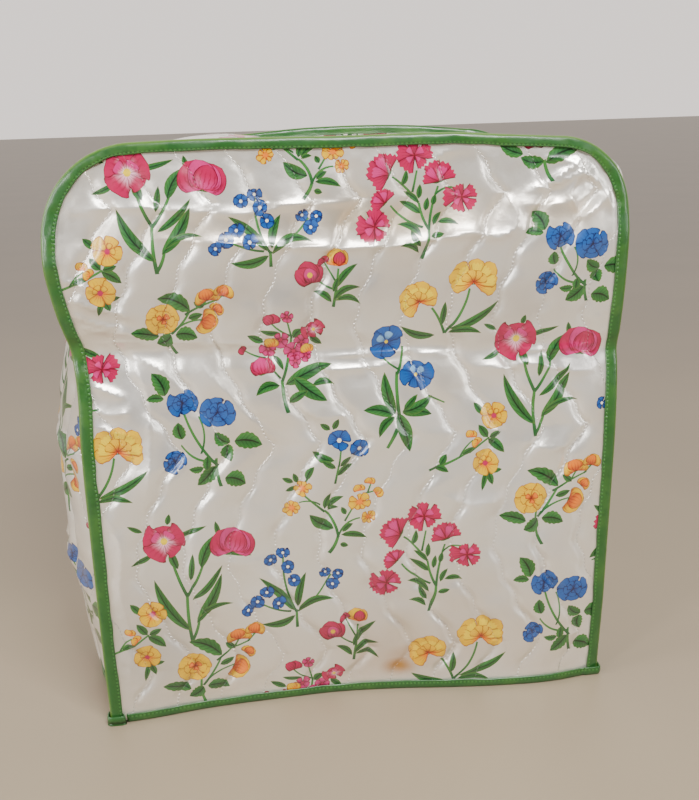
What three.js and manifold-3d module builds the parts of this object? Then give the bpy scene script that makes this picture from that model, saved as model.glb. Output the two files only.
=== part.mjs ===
import * as THREE from 'three';
import Module from 'manifold-3d';
import { mergeVertices } from 'three/addons/utils/BufferGeometryUtils.js';

const wasm = await Module();
wasm.setup();

// A quilted vinyl cover that stands on its hem over a stand mixer.
// Millimetres: X runs across the front, Y from front to back, Z up from the hem.

const depth = 215;          // from the front panel's face to the back panel's face, at their seams
const sheet = 1.5;          // the cloth where it is stitched flat
const ply = 0.3;            // air between two pieces that are sewn together
const tape = 1.0;           // the folded binding's own thickness
const hemFloor = 0;         // the lowest point, on which the cover stands
const seamWidth = 9;        // how far a side binding reaches in from its outer edge
const hemHeight = 7;        // how far the hem binding reaches up
const sewnEdge = 12;        // from a panel's outer edge to where its quilted field begins
const channels = 11;        // quilted channels across a panel
const gussetChannels = 7;   // quilted channels across the gusset
const wave = { period: 165, swing: 37, sharpTurn: 204 };   // the stitched lines' zigzag, by height
const puffRise = 3;          // how far the quilting stands up between its stitched lines

// Places across a seam, measured in from the binding's outer edge.
const plyStart = tape + ply + 0.1;
const wallOuter = seamWidth + 0.5;
const wallInner = wallOuter + sheet;
// Places through a seam, measured in from the panel's outer face.
const flangeNear = sheet + ply;
const flangeFar = flangeNear + sheet;
const wallStart = flangeFar + ply + tape + 1;
const clothFoot = hemFloor + tape + ply;
const straightFoot = hemHeight + 1;

// The front's rows, from the hem to the shoulders: their heights at the left and right seams,
// and how far the cloth dips in there. The full-width crease is the row with the deepest dip.
const rows = [
  { left: clothFoot, right: clothFoot, dip: 0 },
  { left: straightFoot, right: straightFoot, dip: 0 },
  { left: 28, right: 28, dip: -0.5 },
  { left: 50, right: 50, dip: -1.5 },
  { left: 72, right: 72, dip: -2.5 },
  { left: 94, right: 94, dip: -3 },
  { left: 116, right: 116, dip: -3 },
  { left: 138, right: 138, dip: -3 },
  { left: 160, right: 160, dip: -2.5 },
  { left: 182, right: 181, dip: -2 },
  { left: 204, right: 201, dip: -1 },
  { left: 226, right: 220, dip: 0.5 },
  { left: 247, right: 236, dip: 2.5 },
  { left: 263, right: 247, dip: 4.5 },
  { left: 276, right: 257, dip: 7 },
  { left: 288, right: 270, dip: 3 },
  { left: 304, right: 292, dip: -1 },
  { left: 322, right: 316, dip: -4 },
  { left: 338, right: 340, dip: -5.5 },
];
const cornerRows = 3;       // rows from the shoulder to the middle of a rounded corner
const lastRow = rows.length - 1 + cornerRows;
const columns = 2 * channels;

// Each panel's outer edge: the two sides by height, the top by its place across, and the corners' radii.
const front = {
  sides: [
    { height: clothFoot, left: -184.5, right: 185 },
    { height: straightFoot, left: -184.5, right: 185 },
    { height: 60, left: -185, right: 187 },
    { height: 140, left: -184.8, right: 189 },
    { height: 210, left: -184.6, right: 191 },
    { height: 250, left: -183.4, right: 192.2 },
    { height: 278, left: -185.5, right: 192.8 },
    { height: 300, left: -190.5, right: 193.2 },
    { height: 330, left: -195, right: 193.5 },
    { height: 350, left: -195, right: 193.5 },
  ],
  top: [
    { across: -150, height: 409 },
    { across: -90, height: 410 },
    { across: 0, height: 408.8 },
    { across: 70, height: 408.6 },
    { across: 110, height: 406 },
    { across: 150, height: 403.5 },
  ],
  corner: { left: 62, right: 50 },
  hem: [
    { across: -185, dip: -1.3 },
    { across: -157, dip: 0.5 },
    { across: -110, dip: 7 },
    { across: -50, dip: 10 },
    { across: -15, dip: 10.5 },
    { across: 30, dip: 6.5 },
    { across: 70, dip: 0.5 },
    { across: 106, dip: -3.7 },
    { across: 145, dip: -5.4 },
    { across: 185, dip: 0 },
  ],
  folded: 1,
  face: 0,
  inward: 1,
};
const back = {
  sides: [
    { height: clothFoot, left: -191, right: 182 },
    { height: straightFoot, left: -191, right: 182 },
    { height: 150, left: -191, right: 186 },
    { height: 300, left: -191, right: 189 },
    { height: 350, left: -190, right: 189 },
  ],
  top: [
    { across: -150, height: 401 },
    { across: -60, height: 408 },
    { across: 0, height: 412 },
    { across: 80, height: 411.5 },
    { across: 150, height: 405 },
  ],
  corner: { left: 62, right: 55 },
  hem: [
    { across: -190, dip: 0 },
    { across: -80, dip: -5 },
    { across: 30, dip: 3 },
    { across: 185, dip: 0 },
  ],
  folded: 0.35,
  face: depth,
  inward: -1,
};

// How far the gusset stands out from the line between its two seams, at mid depth.
const leftBulge = [
  { height: clothFoot, out: 22 },
  { height: straightFoot, out: 22 },
  { height: 40, out: 27 },
  { height: 80, out: 32 },
  { height: 130, out: 34 },
  { height: 190, out: 33 },
  { height: 245, out: 26 },
  { height: 300, out: 16 },
  { height: 347, out: 9 },
  { height: 391, out: 4 },
];
const topBulge = [
  { across: -177, out: 4 },
  { across: -110, out: 3 },
  { across: -20, out: -2 },
  { across: 60, out: -5 },
  { across: 130, out: -2 },
  { across: 179, out: 4 },
];
const rightBulge = [
  { height: clothFoot, out: 5 },
  { height: straightFoot, out: 5 },
  { height: 60, out: 8 },
  { height: 150, out: 10 },
  { height: 260, out: 9 },
  { height: 345, out: 7 },
  { height: 389, out: 4 },
];
// Swells of the gusset beside that: one on top at the left, one behind the right shoulder.
const swells = [
  { x: -78, z: 400, behind: 105, reach: 48, rise: 8 },
  { x: 184, z: 372, behind: 24, reach: 24, rise: 15 },
];

// Value of a table's column between its rows, on a smooth curve through them.
function lookup(table, key, at, column) {
  let k = 0;
  while (k < table.length - 2 && at > table[k + 1][key]) k += 1;
  const slope = (i) => {
    const low = table[Math.max(i - 1, 0)];
    const high = table[Math.min(i + 1, table.length - 1)];
    return (high[column] - low[column]) / (high[key] - low[key]);
  };
  const [a, b] = [table[k], table[k + 1]];
  const span = b[key] - a[key];
  const t = THREE.MathUtils.clamp((at - a[key]) / span, 0, 1);
  const ease = t * t * (3 - 2 * t);
  const swayA = t * (1 - t) * (1 - t) * span * slope(k);
  const swayB = t * t * (1 - t) * span * slope(k + 1);
  return a[column] + (b[column] - a[column]) * ease + swayA - swayB;
}

// The zigzag of the quilting's lines: sharp turns to the right, slow turns to the left.
function zigzag(height) {
  const half = wave.period / 2;
  const cycle = THREE.MathUtils.euclideanModulo(height - wave.sharpTurn, wave.period);
  const t = Math.min(cycle, wave.period - cycle) / half;
  return wave.swing * (Math.pow(1 - t, 1.5) - 0.4);
}

// The panel's rounded corner on one side: its centre and radius.
function corner(panel, side) {
  const sign = side === 'left' ? -1 : 1;
  const edge = panel.sides[panel.sides.length - 1][side];
  const radius = panel.corner[side];
  const x = edge - sign * radius;
  return { sign, radius, x, z: lookup(panel.top, 'across', x, 'height') - radius };
}

// Depth of the panel's outer face, measured inwards from its seam plane.
function dip(panel, x, height, rowDip, row) {
  const fade = Math.pow(Math.max(1 - Math.max(height - straightFoot, 0) / 250, 0), 1.6);
  const hem = fade * lookup(panel.hem, 'across', x, 'dip');
  const loose = THREE.MathUtils.clamp((row - 1) / 4, 0, 1);
  const tuck = 1.2 * Math.sin(x / 31 + height / 47) * loose;
  return hem + panel.folded * (rowDip + tuck);
}

// Stations along a panel's outer edge, up the left side, over the top and down the right side.
function seamStations(panel) {
  const side = (name) => {
    const c = corner(panel, name);
    const points = rows.map((row, i) => ({
      x: lookup(panel.sides, 'height', row[name], name), z: row[name], dip: row.dip, row: i,
    }));
    for (let k = 1; k <= cornerRows; k += 1) {
      const angle = (Math.PI / 4) * (k / cornerRows);
      points.push({
        x: c.x + c.sign * c.radius * Math.cos(angle),
        z: c.z + c.radius * Math.sin(angle),
        dip: -3 * (1 - k / cornerRows),
        row: rows.length - 1 + k,
      });
    }
    return points;
  };
  const left = side('left');
  const right = side('right');
  const [cl, cr] = [corner(panel, 'left'), corner(panel, 'right')];
  const top = [];
  for (let j = 1; j < columns; j += 1) {
    const x = THREE.MathUtils.lerp(left[lastRow].x, right[lastRow].x, j / columns);
    let z = lookup(panel.top, 'across', x, 'height');
    if (x < cl.x) z = cl.z + Math.sqrt(cl.radius ** 2 - (x - cl.x) ** 2);
    if (x > cr.x) z = cr.z + Math.sqrt(cr.radius ** 2 - (x - cr.x) ** 2);
    top.push({ x, z, dip: 0, row: lastRow });
  }
  const stations = [...left, ...top, ...right.reverse()];
  stations.forEach((s, k) => {
    const before = stations[Math.max(k - 1, 0)];
    const after = stations[Math.min(k + 1, stations.length - 1)];
    const run = Math.hypot(after.x - before.x, after.z - before.z);
    s.outX = -(after.z - before.z) / run;
    s.outZ = (after.x - before.x) / run;
    s.y = dip(panel, s.x - s.outX * sewnEdge, s.z - s.outZ * sewnEdge, s.dip, s.row);
  });
  return stations;
}

// A point of a seam's section: in from the outer edge, and through from the panel's outer face.
function seamPoint(panel, station, inFrom, through) {
  return new THREE.Vector3(
    station.x - station.outX * inFrom,
    panel.face + panel.inward * (station.y + through),
    station.z - station.outZ * inFrom,
  );
}

// A closed solid from a sheet's two faces: matching points and the triangles that join them.
function sheetSolid(outer, inner, faces) {
  const count = outer.length;
  const positions = [...outer, ...inner].flatMap((p) => [p.x, p.y, p.z]);
  const index = [];
  const used = new Set();
  faces.forEach(([a, b, c]) => {
    index.push(a, b, c, a + count, c + count, b + count);
    [[a, b], [b, c], [c, a]].forEach(([p, q]) => used.add(`${p} ${q}`));
  });
  used.forEach((edge) => {
    const [p, q] = edge.split(' ').map(Number);
    if (used.has(`${q} ${p}`)) return;
    index.push(q, p, p + count, q, p + count, q + count);
  });
  const geometry = new THREE.BufferGeometry();
  geometry.setAttribute('position', new THREE.Float32BufferAttribute(positions, 3));
  geometry.setIndex(index);
  return geometry;
}

// Two triangles of a quad, turned over where the panel looks the other way.
function quad(a, b, c, d, turned) {
  return turned ? [[a, c, b], [a, d, c]] : [[a, b, c], [a, c, d]];
}

// Quilted panel: a grid over the field inside its seams, and a flat border that the binding holds.
function panelGeometry(panel, stations) {
  const ring = stations.map((s) => seamPoint(panel, s, sewnEdge, 0));
  const [left, right] = [(i) => ring[i], (i) => ring[ring.length - 1 - i]];
  const top = (j) => ring[lastRow + j];
  const outer = [];
  const inner = [];
  const at = (i, j) => i * (columns + 1) + j;
  for (let i = 0; i <= lastRow; i += 1) {
    for (let j = 0; j <= columns; j += 1) {
      const u = j / columns;
      const rise = (left(i).z - left(0).z) / (left(lastRow).z - left(0).z);
      const v = i === lastRow ? 1 : rise ** 3;
      const blend = (axis) => {
        const across = (1 - u) * left(i)[axis] + u * right(i)[axis];
        const ends = (1 - u) * left(lastRow)[axis] + u * right(lastRow)[axis];
        return across + v * (top(j)[axis] - ends);
      };
      const interior = i > 0 && i < lastRow && j > 0 && j < columns;
      const settle = interior ? Math.min(u, 1 - u, 0.2) / 0.2 : 0;
      const footing = THREE.MathUtils.clamp(Math.min((i - 1) / 4, (lastRow - i) / 3), 0, 1);
      const x = blend('x') + zigzag(blend('z')) * settle * settle * (3 - 2 * settle) * footing;
      const z = blend('z');
      const rowDip = i < rows.length ? rows[i].dip : stations[i].dip;
      const edgeDip = i === lastRow ? stations[lastRow + j].y : dip(panel, x, z, rowDip, i);
      const onRing = j === 0 ? stations[i].y : stations[stations.length - 1 - i].y;
      const y = j === 0 || j === columns ? onRing : edgeDip;
      const uneven = 0.85 + 0.25 * Math.sin(1.9 * i + 2.3 * j);
      const puff = interior && i > 1 && j % 2 === 1 ? puffRise * uneven : 0;
      outer.push(new THREE.Vector3(x, panel.face + panel.inward * (y - puff), z));
      inner.push(new THREE.Vector3(x, panel.face + panel.inward * (y + sheet), z));
    }
  }
  const turned = panel.inward < 0;
  const faces = [];
  for (let i = 0; i < lastRow; i += 1) {
    for (let j = 0; j < columns; j += 1) {
      faces.push(...quad(at(i, j), at(i, j + 1), at(i + 1, j + 1), at(i + 1, j), turned));
    }
  }
  const ringIndex = (k) => {
    if (k <= lastRow) return at(k, 0);
    if (k < lastRow + columns) return at(lastRow, k - lastRow);
    return at(stations.length - 1 - k, columns);
  };
  const rim = outer.length;
  stations.forEach((s) => {
    outer.push(seamPoint(panel, s, plyStart, 0));
    inner.push(seamPoint(panel, s, plyStart, sheet));
  });
  for (let k = 0; k < stations.length - 1; k += 1) {
    faces.push(...quad(rim + k, ringIndex(k), ringIndex(k + 1), rim + k + 1, turned));
  }
  return sheetSolid(outer, inner, faces);
}

// How far the gusset stands out at a station, by its place along the strip.
function bulge(station, k, count) {
  if (k <= lastRow) return lookup(leftBulge, 'height', station.z, 'out');
  if (k >= count - 1 - lastRow) return lookup(rightBulge, 'height', station.z, 'out');
  return lookup(topBulge, 'across', station.x, 'out');
}

// The gusset's wall at one station: points from the front seam to the back seam, on one face.
function gussetWall(frontSeam, backSeam, k, inFrom, puffed) {
  const count = frontSeam.length;
  const start = seamPoint(front, frontSeam[k], inFrom, wallStart);
  const end = seamPoint(back, backSeam[k], inFrom, wallStart);
  const out = new THREE.Vector3(frontSeam[k].outX, 0, frontSeam[k].outZ);
  const cells = 2 * gussetChannels;
  const foot = Math.min(k, count - 1 - k);
  const along = frontSeam[k].z + frontSeam[k].x * Math.sign(frontSeam[k].outZ) * 0.5;
  const points = [];
  for (let j = 0; j <= cells; j += 1) {
    const u = j / cells;
    const settle = Math.min(u, 1 - u, 0.25) / 0.25;
    const shift = foot > 1 ? zigzag(along) * settle / depth : 0;
    const v = u + (j === 0 || j === cells ? 0 : shift);
    const point = start.clone().lerp(end, v);
    let stand = bulge(frontSeam[k], k, count) * Math.sin(Math.PI * v);
    swells.forEach((s) => {
      const away = Math.hypot(point.x - s.x, point.z - s.z, point.y - s.behind) / s.reach;
      stand += s.rise * Math.exp(-away * away) * Math.min(v / 0.03, 1);
    });
    const uneven = 0.85 + 0.25 * Math.sin(1.7 * k + 2.9 * j);
    if (puffed && foot > 1 && j % 2 === 1) stand += puffRise * uneven;
    points.push(point.addScaledVector(out, stand));
  }
  return points;
}

// Gusset: the strip's wall, with a seam allowance turned out at each edge behind the panels.
function gussetGeometry(frontSeam, backSeam) {
  const outer = [];
  const inner = [];
  frontSeam.forEach((s, k) => {
    const b = backSeam[k];
    outer.push(seamPoint(front, s, plyStart, flangeFar), seamPoint(front, s, wallOuter, flangeFar));
    outer.push(...gussetWall(frontSeam, backSeam, k, wallOuter, true));
    outer.push(seamPoint(back, b, wallOuter, flangeFar), seamPoint(back, b, plyStart, flangeFar));
    inner.push(seamPoint(front, s, plyStart, flangeNear), seamPoint(front, s, wallInner, flangeNear));
    inner.push(...gussetWall(frontSeam, backSeam, k, wallInner, false));
    inner.push(seamPoint(back, b, wallInner, flangeNear), seamPoint(back, b, plyStart, flangeNear));
  });
  const wide = outer.length / frontSeam.length;
  const faces = [];
  for (let k = 0; k < frontSeam.length - 1; k += 1) {
    for (let j = 0; j < wide - 1; j += 1) {
      const a = k * wide + j;
      faces.push(...quad(a, a + wide, a + wide + 1, a + 1, false));
    }
  }
  return sheetSolid(outer, inner, faces);
}

// Folded tape over a seam's fin: a U-shaped section carried along the stations.
function bindingGeometry(panel, stations) {
  const near = -ply;
  const far = flangeFar + ply;
  const fold = tape + 0.1;
  const section = [
    { out: [seamWidth, near - tape], in: [seamWidth, near] },
    { out: [1.6, near - tape], in: [fold, near] },
    { out: [0, near + 0.9], in: [fold, near + 1.3] },
    { out: [0, far - 0.9], in: [fold, far - 1.3] },
    { out: [1.6, far + tape], in: [fold, far] },
    { out: [seamWidth, far + tape], in: [seamWidth, far] },
  ];
  const outer = stations.flatMap((s) => section.map((p) => seamPoint(panel, s, ...p.out)));
  const inner = stations.flatMap((s) => section.map((p) => seamPoint(panel, s, ...p.in)));
  const wide = section.length;
  const faces = [];
  for (let k = 0; k < stations.length - 1; k += 1) {
    for (let j = 0; j < wide - 1; j += 1) {
      const a = k * wide + j;
      faces.push(...quad(a, a + wide, a + wide + 1, a + 1, panel.inward < 0));
    }
  }
  return sheetSolid(outer, inner, faces);
}

// A closed solid for joining and cutting.
function solid(geometry) {
  const bare = geometry.index ? geometry.toNonIndexed() : geometry.clone();
  bare.deleteAttribute('normal');
  bare.deleteAttribute('uv');
  const merged = mergeVertices(bare, 1e-4);
  return new wasm.Manifold(new wasm.Mesh({
    numProp: 3,
    vertProperties: new Float32Array(merged.attributes.position.array),
    triVerts: new Uint32Array(merged.index.array),
  }));
}

// An upright prism over a closed outline of [x, y] points.
function prism(outline, low, high) {
  const shape = new THREE.Shape(outline.map(([x, y]) => new THREE.Vector2(x, y)));
  const geometry = new THREE.ExtrudeGeometry(shape, { depth: high - low, bevelEnabled: false });
  return solid(geometry.translate(0, 0, low));
}

// The outline moved outwards by a distance (inwards where it is negative), with mitred corners.
function offset(outline, distance) {
  return outline.map(([x, y], k) => {
    const [px, py] = outline[(k + outline.length - 1) % outline.length];
    const [nx, ny] = outline[(k + 1) % outline.length];
    const first = new THREE.Vector2(y - py, px - x).normalize();
    const second = new THREE.Vector2(ny - y, x - nx).normalize();
    const normal = first.clone().add(second).normalize();
    const reach = distance / normal.dot(first);
    return [x + normal.x * reach, y + normal.y * reach];
  });
}

// Hem binding: a ring of folded tape round the cloth's foot, wrapping the four fins with it.
function hemGeometry(frontSeam, backSeam) {
  const last = frontSeam.length - 1;
  const middle = sheet / 2;
  const wallAt = (k) => gussetWall(frontSeam, backSeam, k, wallOuter + middle, false);
  const along = (panel, seam) => {
    const start = seamPoint(panel, seam[0], sewnEdge, middle);
    const end = seamPoint(panel, seam[last], sewnEdge, middle);
    const points = [seamPoint(panel, seam[0], wallOuter + middle, middle)];
    for (let j = 1; j < columns; j += 1) {
      const x = THREE.MathUtils.lerp(start.x, end.x, j / columns);
      const y = panel.face + panel.inward * (dip(panel, x, clothFoot, 0, 0) + middle);
      points.push({ x, y });
    }
    return [...points, seamPoint(panel, seam[last], wallOuter + middle, middle)];
  };
  const loop = [
    ...along(front, frontSeam),
    ...wallAt(last),
    ...along(back, backSeam).reverse(),
    ...wallAt(0).reverse(),
  ].map((p) => [p.x, p.y]);
  const slot = sheet / 2 + ply;
  const finBox = (panel, station, sign, grow, low, high) => {
    const xs = [station.x + sign * (ply + grow), station.x - sign * (seamWidth + ply + grow)];
    const ys = [-ply - tape - ply - grow, flangeFar + ply + tape + ply + grow]
      .map((through) => panel.face + panel.inward * (station.y + through));
    const [x0, x1] = [Math.min(...xs), Math.max(...xs)];
    const [y0, y1] = [Math.min(...ys), Math.max(...ys)];
    return prism([[x0, y0], [x1, y0], [x1, y1], [x0, y1]], low, high);
  };
  const fins = [
    [front, frontSeam[0], -1], [front, frontSeam[last], 1],
    [back, backSeam[0], -1], [back, backSeam[last], 1],
  ];
  const over = hemHeight + 1;
  let ring = prism(offset(loop, slot + tape), hemFloor, hemHeight);
  fins.forEach((fin) => {
    ring = ring.add(finBox(...fin, tape, hemFloor, hemHeight));
  });
  ring = ring.subtract(prism(offset(loop, -slot - tape), hemFloor - 1, over));
  const groove = prism(offset(loop, slot), hemFloor + tape, over)
    .subtract(prism(offset(loop, -slot), hemFloor, over + 1));
  ring = ring.subtract(groove);
  fins.forEach((fin) => {
    ring = ring.subtract(finBox(...fin, 0, hemFloor + tape, over));
  });
  const mesh = ring.getMesh();
  const geometry = new THREE.BufferGeometry();
  geometry.setAttribute('position', new THREE.BufferAttribute(new Float32Array(mesh.vertProperties), 3));
  geometry.setIndex([...mesh.triVerts]);
  return geometry;
}

const quilt = new THREE.MeshStandardMaterial({ color: '#e9e4d8', roughness: 0.28, metalness: 0 });
const greenTape = new THREE.MeshStandardMaterial({ color: '#3f7a33', roughness: 0.35, metalness: 0 });

const frontSeam = seamStations(front);
const backSeam = seamStations(back);
const cover = new THREE.Group();

function piece(name, geometry, material) {
  const mesh = new THREE.Mesh(geometry, material);
  mesh.name = name;
  cover.add(mesh);
}

piece('front_panel', panelGeometry(front, frontSeam), quilt);
piece('gusset', gussetGeometry(frontSeam, backSeam), quilt);
piece('back_panel', panelGeometry(back, backSeam), quilt);
piece('binding_front', bindingGeometry(front, frontSeam), greenTape);
piece('binding_back', bindingGeometry(back, backSeam), greenTape);
piece('binding_hem', hemGeometry(frontSeam, backSeam), greenTape);

// The origin is under the middle of the whole cover, on the surface that it stands on.
const box = new THREE.Box3().setFromObject(cover);
cover.position.set(-(box.min.x + box.max.x) / 2, -(box.min.y + box.max.y) / 2, 0);

export default cover;
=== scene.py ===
import math

import bpy
import numpy as np
from mathutils import Matrix, Vector
from mathutils.geometry import delaunay_2d_cdt
from mathutils.kdtree import KDTree


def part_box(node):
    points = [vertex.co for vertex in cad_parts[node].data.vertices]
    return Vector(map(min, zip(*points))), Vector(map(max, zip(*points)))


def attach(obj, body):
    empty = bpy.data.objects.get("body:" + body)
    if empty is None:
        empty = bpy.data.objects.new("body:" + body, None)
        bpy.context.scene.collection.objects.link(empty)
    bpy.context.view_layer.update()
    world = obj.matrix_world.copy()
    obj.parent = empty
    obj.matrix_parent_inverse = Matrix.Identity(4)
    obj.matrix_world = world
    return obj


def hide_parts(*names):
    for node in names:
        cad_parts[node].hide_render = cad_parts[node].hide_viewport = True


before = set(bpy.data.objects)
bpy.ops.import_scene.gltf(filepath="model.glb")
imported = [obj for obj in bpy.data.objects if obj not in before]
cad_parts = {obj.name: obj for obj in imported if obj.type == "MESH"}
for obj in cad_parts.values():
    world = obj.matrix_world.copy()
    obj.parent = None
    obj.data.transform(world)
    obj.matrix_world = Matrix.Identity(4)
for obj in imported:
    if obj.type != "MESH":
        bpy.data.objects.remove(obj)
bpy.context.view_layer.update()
mm = 0.001

# The camera stands where the photograph was taken from: millimetres and degrees.
cameraSetup = {"place": (-77.5, -762.7, 422.5), "pitch": 16.0, "yaw": -7.39, "roll": -1.85,
               "lens": 45.0, "sensor": 36.0}


def addCamera(setup):
    pitch, yaw, roll = (math.radians(setup[name]) for name in ("pitch", "yaw", "roll"))
    level = Vector((-math.sin(yaw), math.cos(yaw), 0))
    right = Vector((math.cos(yaw), math.sin(yaw), 0))
    ahead = level * math.cos(pitch) - Vector((0, 0, math.sin(pitch)))
    up = level * math.sin(pitch) + Vector((0, 0, math.cos(pitch)))
    turnedRight = right * math.cos(roll) + up * math.sin(roll)
    turnedUp = up * math.cos(roll) - right * math.sin(roll)
    data = bpy.data.cameras.new("camera")
    data.lens = setup["lens"]
    data.sensor_width = setup["sensor"]
    camera = bpy.data.objects.new("camera", data)
    turn = Matrix((turnedRight, turnedUp, -ahead)).transposed().to_4x4()
    camera.matrix_world = Matrix.Translation(Vector(setup["place"]) * mm) @ turn
    bpy.context.scene.collection.objects.link(camera)
    bpy.context.scene.camera = camera


addCamera(cameraSetup)
print("camera placed")

# Sizes of the cover in millimetres, in the pattern's own frame: x across the front from its
# middle, y back from the front's face, z up from the floor.
coverSizes = {"depth": 215.0, "cloth": 1.5, "ply": 0.3, "tape": 1.0, "seamWidth": 9.0,
              "sewnEdge": 12.0, "hemHeight": 7.0, "foot": 1.3, "straightFoot": 8.0}
# The quilting: how many channels, the zigzag of its lines, and how the cloth puffs between them.
quilting = {"channels": 11, "gussetChannels": 7, "period": 165.0, "swing": 37.0, "sharpTurn": 204.0,
            "ripple": 1.4, "rippleLength": 24.0, "rise": 3.2, "valley": 3.8, "lineStep": 3.0,
            "uneven": 0.3, "pucker": 0.45, "puckerReach": 8.0, "drape": 1.3}

foot, straightFoot = coverSizes["foot"], coverSizes["straightFoot"]
wallOuter = coverSizes["seamWidth"] + 0.5
wallInner = wallOuter + coverSizes["cloth"]
flangeNear = coverSizes["cloth"] + coverSizes["ply"]
flangeFar = flangeNear + coverSizes["cloth"]
wallStart = flangeFar + coverSizes["ply"] + coverSizes["tape"] + 1

# Rows of the front: height at the left seam, height at the right seam, how far the cloth dips in.
rows = [
    (foot, foot, 0), (straightFoot, straightFoot, 0), (28, 28, -0.5), (50, 50, -1.5),
    (72, 72, -2.5), (94, 94, -3), (116, 116, -3), (138, 138, -3), (160, 160, -2.5),
    (182, 181, -2), (204, 201, -1), (226, 220, 0.5), (247, 236, 2.5), (263, 247, 4.5),
    (276, 257, 7), (288, 270, 3), (304, 292, -1), (322, 316, -4), (338, 340, -5.5),
    (360, 360, -2), (380, 380, -1), (399, 399, 0),
]
rowLeft, rowRight, rowDip = (np.array([row[k] for row in rows], float) for k in range(3))
cornerRows = 3
lastRow = len(rows) - 1
shoulderRow = lastRow - cornerRows
topSteps = 2 * quilting["channels"]
seamEnd = 2 * lastRow + topSteps

frontPanel = {
    "sides": [(foot, -184.5, 185), (straightFoot, -184.5, 185), (60, -185, 187), (140, -184.8, 189),
              (210, -184.6, 191), (250, -183.4, 192.2), (278, -185.5, 192.8), (300, -190.5, 193.2),
              (330, -195, 193.5), (350, -195, 193.5)],
    "top": [(-150, 409), (-90, 410), (0, 408.8), (70, 408.6), (110, 406), (150, 403.5)],
    "corner": (62, 50),
    "hem": [(-185, -1.3), (-157, 0.5), (-110, 7), (-50, 10), (-15, 10.5), (30, 6.5), (70, 0.5),
            (106, -3.7), (145, -5.4), (185, 0)],
    "folded": 1.0, "face": 0.0, "inward": 1,
}
backPanel = {
    "sides": [(foot, -191, 182), (straightFoot, -191, 182), (150, -191, 186), (300, -191, 189),
              (350, -190, 189)],
    "top": [(-150, 401), (-60, 408), (0, 412), (80, 411.5), (150, 405)],
    "corner": (62, 55),
    "hem": [(-190, 0), (-80, -5), (30, 3), (185, 0)],
    "folded": 0.35, "face": coverSizes["depth"], "inward": -1,
}
# How far the gusset stands out between its seams, by height at the sides and across the top.
leftBulge = [(foot, 22), (straightFoot, 22), (40, 27), (80, 32), (130, 34), (190, 33), (245, 26),
             (300, 16), (347, 9), (391, 4)]
topBulge = [(-177, 4), (-110, 3), (-20, -2), (60, -5), (130, -2), (179, 4)]
rightBulge = [(foot, 5), (straightFoot, 5), (60, 8), (150, 10), (260, 9), (345, 7), (389, 4)]
swells = [{"x": -78, "z": 400, "behind": 105, "reach": 48, "rise": 8},
          {"x": 184, "z": 372, "behind": 24, "reach": 24, "rise": 15}]


def smooth(table, at, column=1):
    # A table's column at any place of its first column, on a smooth curve through its rows.
    keys = np.array([row[0] for row in table], float)
    values = np.array([row[column] for row in table], float)
    at = np.asarray(at, float)
    low = np.maximum(np.arange(len(keys)) - 1, 0)
    high = np.minimum(np.arange(len(keys)) + 1, len(keys) - 1)
    slopes = (values[high] - values[low]) / (keys[high] - keys[low])
    k = np.clip(np.searchsorted(keys, at) - 1, 0, len(keys) - 2)
    span = keys[k + 1] - keys[k]
    t = np.clip((at - keys[k]) / span, 0, 1)
    rise = values[k + 1] - values[k]
    sway = t * (1 - t) * span * ((1 - t) * slopes[k] - t * slopes[k + 1])
    return values[k] + rise * t * t * (3 - 2 * t) + sway


def ease(t):
    t = np.clip(t, 0, 1)
    return t * t * (3 - 2 * t)


def softNoise(across, along, seed):
    # Smooth random heights from -1 to 1, one cell a unit.
    size = 64
    grid = np.random.RandomState(seed).rand(size, size) * 2 - 1
    i, j = np.floor(across).astype(int), np.floor(along).astype(int)
    u, v = across - i, along - j
    u, v = (t ** 3 * (t * (6 * t - 15) + 10) for t in (u, v))
    near = grid[i % size, j % size] * (1 - u) + grid[(i + 1) % size, j % size] * u
    far = grid[i % size, (j + 1) % size] * (1 - u) + grid[(i + 1) % size, (j + 1) % size] * u
    return near * (1 - v) + far * v


def zigzag(height):
    half = quilting["period"] / 2
    cycle = np.mod(height - quilting["sharpTurn"], quilting["period"])
    t = np.minimum(cycle, quilting["period"] - cycle) / half
    ripple = quilting["ripple"] * np.sin(2 * math.pi * height / quilting["rippleLength"])
    return quilting["swing"] * ((1 - t) ** 1.5 - 0.4) + ripple


def broadDip(panel, x, z):
    # How far the panel's face lies inwards of its seam plane, before its quilting and creases.
    x, z = np.broadcast_arrays(np.asarray(x, float), np.asarray(z, float))
    u = np.clip((x + 173) / 354, 0, 1)
    heights = rowLeft + (rowRight - rowLeft) * u[..., None]
    k = np.clip((heights <= z[..., None]).sum(-1) - 1, 0, lastRow - 1)
    low = np.take_along_axis(heights, k[..., None], -1)[..., 0]
    high = np.take_along_axis(heights, k[..., None] + 1, -1)[..., 0]
    row = k + np.clip((z - low) / (high - low), 0, 1)
    dips = smooth(list(enumerate(rowDip)), row)
    tuck = 1.2 * np.sin(x / 31 + z / 47) * np.clip((row - 1) / 4, 0, 1) * ease((lastRow - row) / 3)
    fade = np.clip(1 - np.maximum(z - straightFoot, 0) / 250, 0, 1) ** 1.6
    return fade * smooth(panel["hem"], x) + panel["folded"] * (dips + tuck)


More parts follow.
